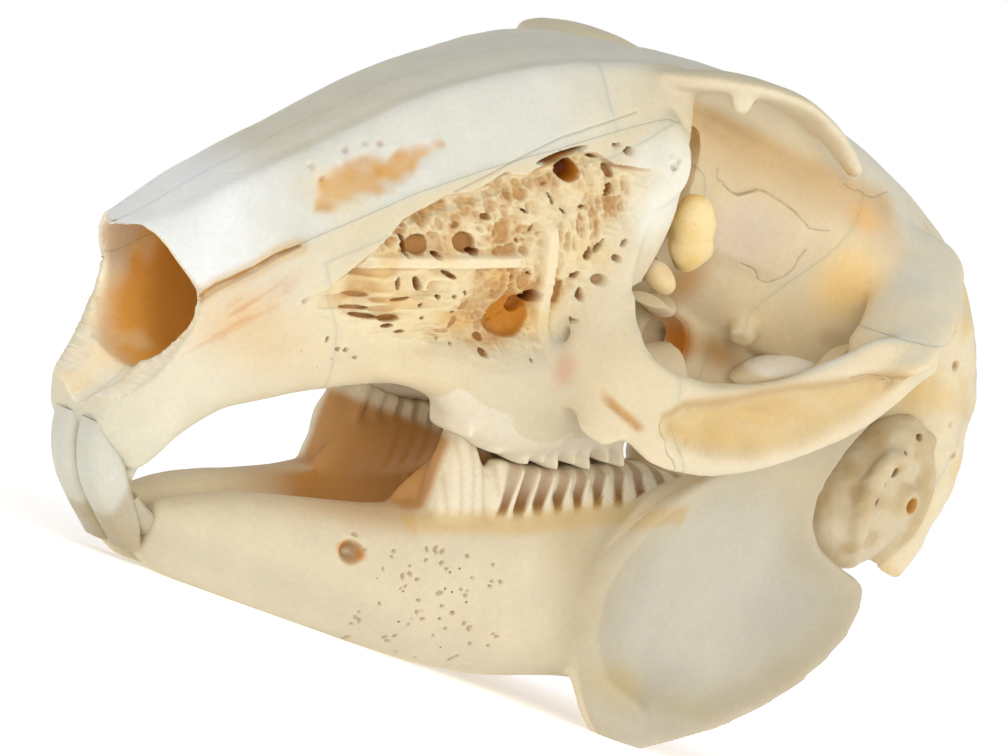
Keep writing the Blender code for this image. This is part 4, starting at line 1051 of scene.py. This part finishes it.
def build_bones():
    """Bones by name: the upper skull parted along its sutures, and the left jaw, ear bulb and front teeth."""
    whole = build_cranium()
    inner, outer = INNER_CUT, OUTER_CUT
    cuts = [
        curtain(NASAL_SUTURE + ORBIT_WALL[1:], -inner, inner, 60, HAIRLINE),
        curtain(FRONTAL_SUTURE, -inner, inner, 8, CLOSED),
        curtain(CORONAL_SUTURE, -inner, inner, 16, CLOSED),
        curtain(LAMBDOID_SUTURE, -outer, outer, 16, CLOSED),
        curtain(FACE_SUTURE, -outer, outer, 24, CLOSED),
    ]
    for side in (-1, 1):
        cuts.append(curtain(CHEEK_FRONT, side * (inner - 0.2), side * outer, 10, CLOSED))
        cuts.append(curtain(CHEEK_REAR, side * (inner + 0.6), side * outer, 10))
    carve(whole, cuts)
    bones = bones_from(whole, {
        "frontal": (4.0, 0.0, 53.0), "braincase": (26.0, 0.0, 52.4), "occipital": (42.0, 0.0, 43.0),
        "zygomatic_left": (8.0, -21.0, 27.0), "zygomatic_right": (8.0, 21.0, 27.0),
        **MIDDLE_PAIRS})
    for word, spot in MIDDLE_PAIRS.items():
        both = carve(bones.pop(word), [wall(-80, 60, -HAIRLINE / 2, HAIRLINE / 2, -20, 80)])
        bones |= bones_from(both, {word + "_left": (spot[0], -spot[1], spot[2]), word + "_right": spot})
    jaw = grown("mandible_left", jaw_shells())
    shape_jaw(jaw)
    carve(jaw, [wall(-60, 60, -40, 40, -20, 0.0), wall(-60, 60, -HAIRLINE / 2, 40, -30, 60)])
    bones["mandible_left"] = jaw
    bones["bulla_left"] = grown("bulla_left", bulla_shells(), 0.2)
    shape_bulla(bones["bulla_left"])
    for name, shell in (
        ("upper_incisor_left", incisor(UPPER_INCISOR, 1.72, 1.66, 1.6)),
        ("lower_incisor_left", incisor(LOWER_INCISOR, 1.75, 1.4, 1.25)),
        ("peg_incisor_left", rod([(x, -1.8, z) for x, z in PEG_TOOTH],
                                 [(0.8, 0.75)] * 2 + [(0.6, 0.5)], 20, 24)),
    ):
        bones[name] = mesh_piece(name, [shell])
    return bones


def mirrored(item, name):
    """Copy of a left bone on the right side, its faces turned outwards again."""
    mesh = item.data.copy()
    mesh.name = name
    mesh.transform(Matrix.Diagonal((1, -1, 1, 1)))
    mesh.flip_normals()
    twin = bpy.data.objects.new(name, mesh)
    bpy.context.scene.collection.objects.link(twin)
    return twin


# Tints

def linear(code):
    """Linear colour from an sRGB hex value."""
    raw = np.array([int(code[i:i + 2], 16) for i in (0, 2, 4)]) / 255
    return (*np.where(raw <= 0.04045, raw / 12.92, ((raw + 0.055) / 1.055) ** 2.4), 1.0)


def plain(code, count):
    """One colour at every point."""
    return np.tile(np.array(linear(code)[:3]), (count, 1))


def lay(tint, share, code):
    """Cover the tint with a colour by a share at each point."""
    tint += share[:, None] * (np.array(linear(code)[:3]) - tint)


def lay_dabs(tint, spots, rows, where=1.0):
    """Lay soft spots one after another, from rows of share, centre, radii, core and colour."""
    for share, centre, radii, core, code in rows:
        lay(tint, share * dab(spots, centre, radii, core) * where, code)


def bone_tint(spots, outward):
    """Dry bone all over: ivory, honey in broad patches, and painted shade that greys it where it faces up."""
    tint = plain("E2D5B6", len(spots))
    lay(tint, 0.35 * step(-0.1, 0.7, grain(spots, 9.0, 41)), "E6D0A0")
    lay(tint, 0.25 * step(0.0, 0.8, grain(spots, 4.0, 42)), "DACBAA")
    # painted shade: surfaces that face up are greyed and darkened
    lay(tint, 0.8 * step(0.35, 0.95, outward[:, 2]), "D2D2C4")
    return tint


def cranium_tint(spots, outward):
    """Colours of the upper skull: honeycomb, thin bone, nose, eye socket, arch and ear region, with painted
    highlights, painted shade in hollows, pits and windows, and painted glow where light shines through thin
    bone.
    """
    x, y, z = spots.T
    side = np.abs(y)
    left = np.stack([x, -side, z], axis=1)
    lateral = np.sign(y) * outward[:, 1]
    tint = bone_tint(spots, outward)
    face = step(0.05, 0.35, lateral)
    above = np.interp(x, *np.array(NASAL_SUTURE).T)
    # painted highlight: cool white on the side of the nasal, above its suture
    lay(tint, 0.85 * step(-0.6, 0.8, z - above) * (1 - step(-16, -5, x)) * face, "DFE0D6")
    lay(tint, 0.5 * (1 - step(-0.6, 0.8, z - above)) * (1 - step(-34, -26, x)) * face, "E4DFCB")
    # painted light: the top of the nasal's tip is whitened
    tip = (1 - step(-38, -32, x)) * step(-0.4, 0.3, outward[:, 2])
    lay(tint, 0.9 * step(-0.4, 0.4, z - above) * tip, "F2F4F2")
    lay(tint, 0.7 * (1 - step(9.0, 15.0, z)) * (1 - step(-36, -31, x)), "DAD6C0")
    # painted shade: the brow's upward faces are darkened to tan
    brow_top_shade = step(-8, -3, x) * (1 - step(6, 12, x)) * step(5, 8, side)
    lay(tint, 0.75 * step(0.3, 0.8, outward[:, 2]) * brow_top_shade, "CDBF98")
    lay(tint, 0.7 * dab(left, (-4.6, -12.6, 42.0), (4.0, 4.0, 6.0), 0.5) * face, "EDEEE2")
    # nose opening, painted light and shade: near white at its rim, then amber and umber deeper in, for light
    # through its thin bone and the shade of the cavity
    toward = -(y * outward[:, 1] + (z - 19) * outward[:, 2]) / np.maximum(np.hypot(y, z - 19), 0.1)
    inner = step(0.0, 0.3, toward) * (x < -25) * (z > 9.0) * (z < 28.5) * (side < 7) * (z < above + 6)
    cloud = grain(spots * (0.5, 1, 1), 1.6, 55)
    lay(tint, inner, "FFF6DC")
    lay(tint, 0.8 * inner * step(-38.6, -36.4, x + 0.5 * cloud) * (1 - step(18.5, 21.5, z)), "FFD088")
    lay(tint, 0.85 * inner * step(19.5, 21.5, z + 0.4 * cloud) * step(-42.4, -40.6, x), "E8D4B4")
    lay(tint, inner * step(-37.2, -35.4, x + 0.6 * cloud), "F4B85A")
    lay(tint, 0.8 * inner * step(-35.2, -32.4, x + 0.8 * cloud), "CC8C34")
    lay(tint, 0.5 * inner * step(0.0, 0.5, cloud), "FFE8B8")
    # slit between the nasal and the bone below it
    seam, share = line_reach(x, z, NOSE_SLIT)
    lay(tint, 0.6 * (1 - step(0.3, 0.9, seam)) * face * (side > 4.5), "D8B47C")
    seam = seam + 0.14 * grain(spots, 0.8, 56) + 0.12 * share
    lay(tint, 0.9 * (1 - step(0.1, 0.34, seam)) * face * (side > 4.5), "C08A44")
    # rosy streaks behind the front teeth
    along = 0.62 * (x + 34.6) + 0.78 * (z - 20.8)
    across = 0.62 * (z - 20.8) - 0.78 * (x + 34.6)
    streak = np.exp(-(along / 3.6) ** 2 - (across / 1.1) ** 2) * face
    fibre = grain(np.stack([along / 5, across, np.full(len(x), 0.3)], axis=1), 0.42, 51)
    lay(tint, 0.5 * streak, "E4BC8A")
    lay(tint, 0.85 * streak * step(0.0, 0.35, fibre), "D0885A")
    lay(tint, 0.6 * dab(left, (-33.0, -7.2, 20.0), (8.0, 4.0, 5.0), 0.1) * face, "DDBE8C")
    # thin bone on the side of the nose, painted amber as a glow of light shining through it
    thin = step(-0.5, 0.6, inside_depth(x, z, THIN_BONE) + 0.5 * grain(spots, 0.9, 57)) * face
    lay(tint, 0.6 * dab(left, (-29.4, -6.6, 31.8), (5.0, 4.0, 3.0), 0.1) * face, "E8D2A6")
    lay(tint, thin * (0.75 + 0.25 * grain(spots, 1.2, 52)), "D79C38")
    lay(tint, 0.7 * thin * step(-0.6, 0.4, z - np.interp(x, (-31, -26, -22), (33.0, 36.0, 38.4))), "C9A27C")
    # honeycomb, its colour painted light and shade by depth: pale on the struts, tan in the recesses, amber
    # to red-brown down the windows for light through thin bone and shade
    field, depth, window = honeycomb(spots)
    comb = (lateral > -0.9) * (side > 5.2) * (x < -3.0)
    lay(tint, 0.7 * field * comb, "EAD5A6")
    lay(tint, 0.85 * comb * step(0.55, 1.2, depth), "BE8A46")
    lay(tint, 0.6 * comb * field * (1 - step(0.3, 0.6, depth)), "F0E2C0")
    lay(tint, 0.5 * comb * field * step(0.2, 0.8, grain(spots, 2.2, 53)), "E6C27C")
    run, rise = lattice_axes(x, z)
    lay(tint, comb * step(0.4, 1.1, window), "A8763C")
    big = np.maximum(1 - step(0.7, 1.2, np.hypot((run + 0.6) / 2.1, (rise + 4.2) / 1.7)),
                     1 - step(0.6, 1.2, np.hypot((run - 4.4) / 1.5, (rise - 7.2) / 1.6)))
    lay(tint, comb * big * step(0.3, 1.0, window), "C07C1C")
    lay(tint, comb * step(1.2, 1.9, window), "A0590F")
    lay(tint, comb * step(1.9, 2.5, window), "6A2C0A")
    # painted shadow: a brown line under the raised upper edge of the honeycomb
    edge, _ = line_reach(x, z, LATTICE_TOP)
    rim = (field > 0) * (1 - step(0.1, 0.55, edge)) * step(-0.6, 0.4, grain(spots, 1.6, 54))
    lay(tint, 0.8 * comb * rim, "9C6A34")
    # painted shade: the pits are painted brown
    for _, spot in pit_dabs(left, FACE_PITS, 1.25, 0.35):
        lay(tint, 0.85 * spot, "C08646")
    # eye socket, much of it painted light and shade: brown under the shelf, in creases and low down, yellow
    # and white where light shines through thin bone
    socket = step(-3.0, 0.0, x) * (1 - step(21, 24, x)) * (1 - step(14.0, 15.5, side)) * step(28, 30, z)
    below = socket * (1 - step(49.5, 51.5, z + 0.12 * side))
    lay(tint, 0.5 * below, "E6D2AC")
    # painted shade under the shelf: darker high in the socket and on faces that look down
    lay(tint, 0.75 * below * step(43.0, 49.0, z), "CBA66E")
    lay(tint, 0.6 * below * step(0.1, 0.6, -outward[:, 2]) * step(45, 47, z), "BC9458")
    # painted light and shade on the socket walls: yellow glow of light through the thin back wall, brown
    # shade low down
    lay_dabs(tint, left, (
        (0.7, (10.5, -8.0, 42.0), (4.6, 3.5, 3.6), 0.3, "E2D0BC"),
        (0.8, (18.9, -12.4, 41.0), (4.4, 4.0, 5.4), 0.1, "F3CE84"),
        (0.7, (18.6, -11.8, 46.6), (2.6, 2.4, 2.0), 0.1, "E9B46C"),
        (0.6, (15.0, -8.0, 36.0), (5.0, 4.0, 3.4), 0.1, "F0DBB0"),
        (0.9, (20.4, -12.4, 36.0), (2.2, 2.4, 2.0), 0.1, "A0682C"),
        (0.8, (15.0, -5.0, 32.0), (4.0, 3.5, 2.0), 0.1, "B98C50"),
        (0.7, (8.4, -5.4, 36.4), (2.8, 3.0, 4.6), 0.1, "C08C44"),
    ))
    pod = dab(left, (3.3, -10.0, 40.0), (3.2, 3.4, 4.4), 0.75) * (below > 0) * (x > -0.6)
    lay(tint, pod, "EFCF86")
    lay(tint, 0.6 * pod * step(-0.2, 0.5, grain(spots, 1.8, 65)), "F6E4B4")
    lay(tint, dab(left, (1.0, -11.2, 35.5), (2.0, 2.0, 1.5), 0.7) * (below > 0), "EBD3A2")
    # painted shade in the crease under the lobes
    lay(tint, 0.8 * dab(left, (3.0, -8.6, 36.8), (1.6, 2.4, 0.9), 0.2) * (below > 0), "7E6228")
    # painted amber glow and shade in the hole
    lay(tint, dab(left, (9.8, -5.6, 31.4), (3.6, 3.6, 3.0), 0.5) * (below > 0), "B56C0C")
    # painted light: the lens is near white, as if light shines through it
    lens = dab(left, (20.2, -8.2, 32.9), (5.4, 2.6, 2.6), 0.8)
    lay(tint, lens * step(-0.35, -0.1, outward[:, 2]) * step(15.4, 17.0, x), "FFFBEE")
    # cheek arch, with painted shade in its hollow and under the hollow's upper edge
    within = inside_depth(x, z, ARCH_HOLLOW)
    hollow = step(-1.0, 1.2, within) * step(0.2, 0.6, lateral) * step(17, 18, side)
    # the hollow's tan is partly the bone's colour and partly painted shade
    lay(tint, hollow * (0.85 + 0.3 * np.clip(grain(spots * (0.5, 1, 1.4), 1.8, 61), -0.9, 0.3)), "D6B678")
    # painted shade: a darker band under the upper edge of the hollow
    edge = np.exp(-((within - 0.1) / 0.45) ** 2) * step(-1.2, 0.2, z - 26.2 - 0.42 * x)
    lay(tint, 0.6 * edge * step(17, 18, side) * step(0.2, 0.6, lateral), "B8935A")
    slit, _ = line_reach(x, z, CHEEK_SLIT)
    lay(tint, 0.8 * (1 - step(0.1, 0.55, slit)) * step(16.5, 17.5, side), "CF9850")
    lay(tint, 0.65 * dab(left, (-8.2, -14.6, 26.0), (1.1, 2.4, 2.4), 0.1), "D39A78")
    # temple, ear region and back
    lay_dabs(tint, left, (
        (0.8, (22.6, -15.6, 42.4), (2.2, 2.6, 4.0), 0.2, "D3D0C2"),
        (0.75, (30.6, -12.8, 35.0), (3.6, 3.0, 3.6), 0.1, "DDB766"),
    ))
    lay(tint, 0.35 * step(20, 34, x) * step(-0.2, 0.5, lateral), "DCCBA6")
    lay(tint, 0.5 * step(26, 31, x) * step(6, 9, side) * step(-0.1, 0.6, grain(spots, 2.2, 64)), "DDBD7C")
    # painted shade: the pits at the back are painted dark
    for _, spot in pit_dabs(left, BACK_PITS, 1.3, 0.4, across=1.5):
        lay(tint, 0.9 * spot, "A9762F")
    # cheek teeth
    low = z < bite_line(x + 1.5) + 3.0 + 0.8 * grain(spots, 2.0, 62)
    teeth = (side < 13) * (side > 5) * (x > -15) * (x < 6) * low
    lay(tint, 0.8 * teeth, "EEE4CC")
    # painted shade over the tooth row and the bulge above it
    painted_shade = 0.17 * dab(left, (-5.0, -11.0, 22.0), (12.0, 8.0, 7.0), 0.3)
    return tint * (1 - painted_shade)[:, None]


def jaw_tint(spots, outward):
    """Colours of the lower jaw: honey rim; painted shade in the fossa, before the ridge, in pits, foramen,
    grooves, between tooth ribs and on the inner face.
    """
    x, y, z = spots.T
    # the painted shade on up-facing surfaces is weakened here
    tint = bone_tint(spots, outward * (1, 1, 0.4))
    outer = step(0.1, 0.5, -outward[:, 1])
    plate_in = inside_depth(x, z, JAW_FOSSA)
    # painted shade: the sunk fossa is greyed
    lay(tint, 0.6 * outer * step(0.5, 5.0, plate_in), "D8D5C8")
    lay_dabs(tint, spots, (
        (0.7, (9.0, -15.2, 4.0), (5.0, 3.0, 3.0), 0.1, "E6CC8C"),
        (0.5, (17.0, -15.4, 3.8), (5.0, 3.0, 2.4), 0.1, "E9D9AC"),
    ), outer)
    lay(tint, 0.6 * step(-2.0, 1.0, 3.0 - z) * outer, "CFC6B0")
    # painted shade in front of the ridge
    lay_dabs(tint, spots, (
        (0.5, (1.0, -12.6, 13.0), (4.0, 4.0, 6.0), 0.1, "C8B488"),
        (0.5, (4.0, -12.6, 10.0), (3.6, 4.0, 6.0), 0.1, "C8B488"),
    ), outer)
    # painted shade in the foramen
    lay(tint, dab(spots, (-16.7, -8.4, 6.8), (1.5, 2.0, 0.95), 0.5), "CE8A32")
    # painted shade in the pits
    lay(tint, 0.6 * outer * jaw_pits(x, z), "BE9F70")
    inner = step(0.1, 0.5, outward[:, 1]) * step(5, 9, z)
    diastema = step(0.2, 0.8, outward[:, 2]) * (x < -12) * (x > -32)
    lay(tint, 0.6 * diastema * step(-26, -16, x), "D0A878")
    gum = np.interp(x, (-12, -8, -4, 2, 8), (11.0, 12.4, 13.6, 16.2, 18.8))
    tooth = step(-0.2, 0.6, z - gum) * (x > -13.5) * (x < 10.5) * (y > -12.6)
    lay(tint, 0.85 * tooth, "F1E6CB")
    # painted shade in the gaps between the tooth ribs
    between = 0.5 - 0.5 * np.cos(2 * np.pi * (x + 4.6) / TOOTH_STEP)
    low = 1 - step(0.6, 3.4, z - gum)
    lay(tint, tooth * (x > -6.5) * step(0.45, 0.85, between) * (0.45 + 0.55 * low), "8C5C1A")
    band = (1 - step(0.3, 1.4, np.abs(z - gum + 0.3))) * (x > -13) * (x < 10)
    lay(tint, 0.55 * band * outer, "DDB870")
    # painted shade in the grooves of the front tooth
    wave = 0.5 - 0.5 * tooth_wave(x, z)
    lay(tint, 0.3 * tooth * (x < -6.0) * outer * step(0.7, 0.98, wave), "C9A368")
    # painted shade: the jaw's inner face and the inner side of its teeth are amber-brown
    lingual = step(-8.6, -7.4, y) * (z < 18.2 + 0.3 * grain(spots, 1.0, 43)) * (z > 5)
    honey = np.maximum(inner, lingual * tooth) * (1 - step(17.2, 18.2, z)) * step(-19, -13, x)
    lay(tint, 0.9 * honey, "C48A40")
    shade = 0.08 + 0.14 * step(-4, 8, x) + 0.1 * dab(spots, (6.0, -14.0, 12.0), (5.0, 6.0, 12.0), 0.2)
    shade += 0.1 * step(18, 26, x) + 0.1 * dab(spots, (14.0, -15.0, 5.0), (11.0, 6.0, 4.0), 0.2)
    return tint * (1 - shade * outer)[:, None]


def bulla_tint(spots, outward):
    """Ear bulb: smoky cream, paler at its lower end, with painted shade in its holes and its ear opening."""
    left = np.stack([spots[:, 0], -np.abs(spots[:, 1]), spots[:, 2]], axis=1)
    tint = bone_tint(spots, outward)
    lay(tint, np.full(len(spots), 0.5), "D6C29C")
    lay(tint, 0.7 * dab(left, (27.6, -12.6, 22.0), (2.2, 2.6, 1.8), 0.1), "EFE2C6")
    lay(tint, 0.6 * step(-0.1, 0.6, grain(spots, 1.6, 93)), "C9AE7C")
    # painted shade: the holes are painted near black
    for _, spot in pit_dabs(left, BULLA_PITS, 1.3, 0.5, across=1.4):
        lay(tint, 0.95 * spot, "5E421E")
    # painted shade: the ear opening is painted amber
    lay(tint, 0.95 * dab(left, (33.1, -14.6, 26.2), (1.0, 1.4, 1.0), 0.6), "C89040")
    return tint * 0.87


def tooth_tint(spots, outward):
    """Enamel: ivory with a paler face, tan toward the root and darker low down, with painted shade on the
    lower incisor.
    """
    x, y, z = spots.T
    tint = plain("DEDCCC", len(spots))
    lay(tint, 0.6 * step(0.0, 0.9, outward[:, 0]), "DCC79C")
    lay(tint, 0.5 * step(8.0, 11.0, z), "E0D8BC")
    lay(tint, 0.6 * (1 - step(1.0, 5.0, z + grain(spots, 1.2, 71))), "C4B088")
    # painted shade: teeth below z 6.4 behind the front are darkened, chiefly the lower incisor
    lay(tint, 0.6 * (z < 6.4) * step(-35.6, -34.6, x + 0.25 * (6.4 - z)), "B09C74")
    return tint


def store(item, name, values):
    """Keep a colour or a few numbers at every point of the mesh."""
    layer = item.data.attributes.new(name, "FLOAT_COLOR", "POINT")
    full = np.ones((len(values), 4), np.float32)
    full[:, :values.shape[1]] = values
    layer.data.foreach_set("color", full.ravel())


def eased(line):
    """Line with its corners cut three times, each side keeping its middle half."""
    line = np.array(line, float)
    for _ in range(3):
        start, end = line[:-1], line[1:]
        inner = np.stack([0.75 * start + 0.25 * end, 0.25 * start + 0.75 * end], axis=1)
        line = np.vstack([line[:1], inner.reshape(-1, 2), line[-1:]])
    return line


def crack_reach(spots):
    """Distance to the fine dark seams and cracks that show as lines, in mm, at most CRACK_FAR."""
    x, y, z = (spots + 0.22 * grain(spots, 1.3, 58)[:, None] + 0.1 * grain(spots, 0.5, 59)[:, None]).T
    side = np.abs(y)
    lines = (
        (SOCKET_SEAM, side < 13), (SOCKET_STEP, side < 13),
        (((14.6, 33.9), (18.6, 35.0), (21.6, 36.0)), side > 18.5),
        (((-1.8, 25.2), (-1.6, 24.2), (-0.5, 22.9), (1.4, 21.8)), side > 18.5),
        (((-20.6, 35.6), (-16.8, 39.2), (-13.1, 42.6), (-10.0, 44.7), (-7.2, 46.8)),
         (side > 7) & (z > 34)),
        (((16.4, 48.6), (19.0, 48.2), (22.4, 49.6)), side > 9),
    )
    reach = np.full(len(x), CRACK_FAR)
    for line, where in lines:
        away, _ = line_reach(x, z, eased(line))
        reach = np.where(where, np.minimum(reach, away), reach)
    return reach


def dress(name, item):
    """Store the tint and the marks of a bone: distance to its cracks and share of pores."""
    spots = spots_of(item)
    outward = facing(item)
    reach = np.full(len(spots), CRACK_FAR)
    pores = np.zeros(len(spots))
    if name.startswith("mandible"):
        to_left = (1, -1 if name.endswith("right") else 1, 1)
        tint = jaw_tint(spots * to_left, outward * to_left)
        pores = 0.3 * dab(spots * to_left, (-9.4, -10.0, 5.6), (6.5, 4.0, 4.6), 0.3)
    elif name.startswith("bulla"):
        tint = bulla_tint(spots, outward)
    elif "incisor" in name:
        tint = tooth_tint(spots, outward)
    else:
        tint = cranium_tint(spots, outward)
        pores = 0.5 * dab(spots, (-26.0, -8.6, 19.6), (5.0, 3.0, 3.4), 0.1)
        reach = crack_reach(spots)
    store(item, "tint", tint)
    store(item, "marks", np.stack([reach, pores], axis=1))


# Materials

def node(tree, kind, links=(), **settings):
    """Add a node, set its own settings, and fill or link its sockets from (socket, value) pairs."""
    made = tree.nodes.new(kind)
    for word, value in settings.items():
        setattr(made, word, value)
    for socket, value in links:
        if isinstance(value, bpy.types.NodeSocket):
            tree.links.new(value, made.inputs[socket])
        else:
            made.inputs[socket].default_value = value
    return made


def bone_material(name, depth, rough, shade):
    """Cleaned dry bone: soft and chalky, light sinks in a little, with fine mottling, pores and hair cracks.

    depth is how far light spreads in mm, rough the roughness, and shade the darkening of the stored tint.
    """
    made = bpy.data.materials.new(name)
    made.use_nodes = True
    tree = made.node_tree
    shader = tree.nodes["Principled BSDF"]
    tint = node(tree, "ShaderNodeAttribute", attribute_name="tint")
    marks = node(tree, "ShaderNodeAttribute", attribute_name="marks")
    parts = node(tree, "ShaderNodeSeparateXYZ", [("Vector", marks.outputs["Vector"])])
    place_at = node(tree, "ShaderNodeTexCoord").outputs["Object"]
    # mottling of 3 mm patches and 0.4 mm grain
    patches = node(tree, "ShaderNodeTexNoise", [("Vector", place_at), ("Scale", 330.0), ("Detail", 5.0)])
    fine = node(tree, "ShaderNodeTexNoise", [("Vector", place_at), ("Scale", 2400.0), ("Detail", 3.0)])
    patch_tone = node(tree, "ShaderNodeMapRange", [("Value", patches.outputs["Fac"]), ("From Min", 0.3),
                      ("From Max", 0.7), ("To Min", shade * 0.965), ("To Max", shade * 1.03)])
    fine_tone = node(tree, "ShaderNodeMapRange", [("Value", fine.outputs["Fac"]), ("From Min", 0.3),
                     ("From Max", 0.7), ("To Min", 0.97), ("To Max", 1.03)])
    tone = node(tree, "ShaderNodeMath", [(0, patch_tone.outputs[0]), (1, fine_tone.outputs[0])],
                operation="MULTIPLY")
    # pores about 0.2 mm across and 0.8 mm apart, only where the marks ask for them
    pores = node(tree, "ShaderNodeTexVoronoi", [("Vector", place_at), ("Scale", 1300.0)])
    sieve = node(tree, "ShaderNodeSeparateXYZ", [("Vector", pores.outputs["Color"])])
    chosen = node(tree, "ShaderNodeMath", [(0, sieve.outputs["X"]), (1, parts.outputs["Y"])],
                  operation="LESS_THAN")
    pit = node(tree, "ShaderNodeMapRange", [("Value", pores.outputs["Distance"]), ("From Min", 0.08),
               ("From Max", 0.16), ("To Min", 1.0), ("To Max", 0.0)])
    pore = node(tree, "ShaderNodeMath", [(0, chosen.outputs[0]), (1, pit.outputs[0])], operation="MULTIPLY")
    # hair cracks that fade within 0.11 mm of their line, paler in some patches
    crack = node(tree, "ShaderNodeMapRange", [("Value", parts.outputs["X"]), ("From Min", 0.02),
                 ("From Max", 0.11), ("To Min", 0.34), ("To Max", 0.0)])
    broken = node(tree, "ShaderNodeMapRange", [("Value", patches.outputs["Fac"]), ("From Min", 0.3),
                  ("From Max", 0.5), ("To Min", 0.55), ("To Max", 1.0)])
    line = node(tree, "ShaderNodeMath", [(0, crack.outputs[0]), (1, broken.outputs[0])], operation="MULTIPLY")
    dark = node(tree, "ShaderNodeMath", [(0, pore.outputs[0]), (1, line.outputs[0])], operation="MAXIMUM")
    shaded = node(tree, "ShaderNodeVectorMath", [(0, tint.outputs["Color"]), (1, tone.outputs[0])],
                  operation="MULTIPLY")
    colour = node(tree, "ShaderNodeMix", [("Factor", dark.outputs[0]), ("A", shaded.outputs[0]),
                  ("B", linear("6B4A26"))], data_type="RGBA")
    tree.links.new(colour.outputs["Result"], shader.inputs["Base Color"])
    sheen = node(tree, "ShaderNodeMapRange", [("Value", patches.outputs["Fac"]), ("From Min", 0.3),
                 ("From Max", 0.7), ("To Min", rough - 0.07), ("To Max", rough + 0.08)])
    tree.links.new(sheen.outputs[0], shader.inputs["Roughness"])
    relief = node(tree, "ShaderNodeMath", [(0, fine.outputs["Fac"]), (1, dark.outputs[0])],
                  operation="SUBTRACT")
    bump = node(tree, "ShaderNodeBump", [("Height", relief.outputs[0]), ("Strength", 0.35),
                ("Distance", 0.06 * MM)])
    tree.links.new(bump.outputs[0], shader.inputs["Normal"])
    for word, value in (
        ("Subsurface Weight", 0.3), ("Subsurface Radius", (1.0, 0.62, 0.34)),
        ("Subsurface Scale", depth * MM), ("IOR", 1.45), ("Specular IOR Level", 0.35),
    ):
        shader.inputs[word].default_value = value
    return made


# Studio

# Camera: degrees forward of square on, roll in degrees, distance in mm, pixels to a mm at the skull, aim in
# frame mm, film width in mm and picture width in pixels.
AZIMUTH = 42.0
ROLL = 21.6
DISTANCE = 400.0
SCALE = 12.4
AIM = (-1.0 + ROW_SHIFT, 0.0, 23.6)
FILM = 36
PICTURE = 1008
# Strength of the even sky, and the soft lights: name, power, spread in degrees, colour and where from.
SKY = 0.62
LIGHTS = (("key", 1.16, 40, "FFF9F0", (-0.55, -0.8, 0.2)), ("fill", 1.0, 60, "FBFCFF", (0.7, -0.68, 0.22)))
# Half width of the paper floor, in metres.
FLOOR = 3.0


def add_camera():
    """Camera at the photograph's side view: 42 degrees forward of square on, level, rolled to one side."""
    turn, roll = np.radians(AZIMUTH), np.radians(ROLL)
    view = Vector((np.sin(turn), np.cos(turn), 0))
    level = Vector((np.cos(turn), -np.sin(turn), 0))
    right = level * np.cos(roll) + Vector((0, 0, np.sin(roll)))
    up = level * -np.sin(roll) + Vector((0, 0, np.cos(roll)))
    data = bpy.data.cameras.new("camera")
    data.sensor_width = FILM
    data.lens = SCALE * DISTANCE * FILM / PICTURE
    data.clip_start = 0.01
    camera = bpy.data.objects.new("camera", data)
    camera.matrix_world = Matrix((right, up, -view)).transposed().to_4x4()
    camera.location = (Vector(AIM) - view * DISTANCE) * MM
    bpy.context.scene.collection.objects.link(camera)
    bpy.context.scene.camera = camera


def add_studio():
    """White paper floor and backdrop, an even sky, and a broad soft light from each side of the camera."""
    world = bpy.data.worlds.new("studio")
    world.use_nodes = True
    tree = world.node_tree
    sky = tree.nodes["Background"]
    sky.inputs["Color"].default_value = linear("FBFCFF")
    sky.inputs["Strength"].default_value = SKY
    paper_white = node(tree, "ShaderNodeBackground", [("Color", linear("FFFFFF")), ("Strength", 1.0)])
    seen = node(tree, "ShaderNodeLightPath")
    both = node(tree, "ShaderNodeMixShader", [(0, seen.outputs["Is Camera Ray"]), (1, sky.outputs[0]),
                (2, paper_white.outputs[0])])
    tree.links.new(both.outputs[0], tree.nodes["World Output"].inputs["Surface"])
    bpy.context.scene.world = world
    bpy.context.scene.view_settings.view_transform = "Standard"
    for word, power, spread, colour, source in LIGHTS:
        data = bpy.data.lights.new(word, "SUN")
        data.energy = power
        data.angle = np.radians(spread)
        data.color = linear(colour)[:3]
        lamp = bpy.data.objects.new(word, data)
        lamp.rotation_euler = (-Vector(source)).to_track_quat("-Z", "Y").to_euler()
        bpy.context.scene.collection.objects.link(lamp)
    corners = [(-FLOOR, -FLOOR, 0), (FLOOR, -FLOOR, 0), (FLOOR, FLOOR, 0), (-FLOOR, FLOOR, 0)]
    mesh = bpy.data.meshes.new("floor")
    mesh.from_pydata(corners, [], [(0, 1, 2, 3)])
    floor = bpy.data.objects.new("floor", mesh)
    bpy.context.scene.collection.objects.link(floor)
    paper = bpy.data.materials.new("white_paper")
    paper.use_nodes = True
    shader = paper.node_tree.nodes["Principled BSDF"]
    shader.inputs["Base Color"].default_value = linear("FDFDFC")
    shader.inputs["Roughness"].default_value = 0.9
    shader.inputs["Emission Color"].default_value = linear("FFFFFF")
    shader.inputs["Emission Strength"].default_value = 0.4
    floor.data.materials.append(paper)


def main():
    """Build, dress and hand over every bone, then set the camera and the studio."""
    bones = build_bones()
    for name in [word for word in bones if word.endswith("_left")]:
        twin = name.replace("left", "right")
        if twin not in bones:
            bones[twin] = mirrored(bones[name], twin)
    bone = bone_material("dry_bone", 1.4, 0.5, 0.92)
    enamel = bone_material("tooth_enamel", 1.0, 0.26, 0.83)
    for name, item in bones.items():
        item.name = name + "_surface"
        dress(name, item)
        item.data.transform(Matrix.Translation((ROW_SHIFT * MM, 0, 0)))
        item.data.materials.clear()
        item.data.materials.append(enamel if "incisor" in name else bone)
        item.data.shade_smooth()
        item.data.set_sharp_from_angle(angle=np.radians(50))
        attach(item, "root")
        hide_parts(name)
    add_camera()
    add_studio()


main()
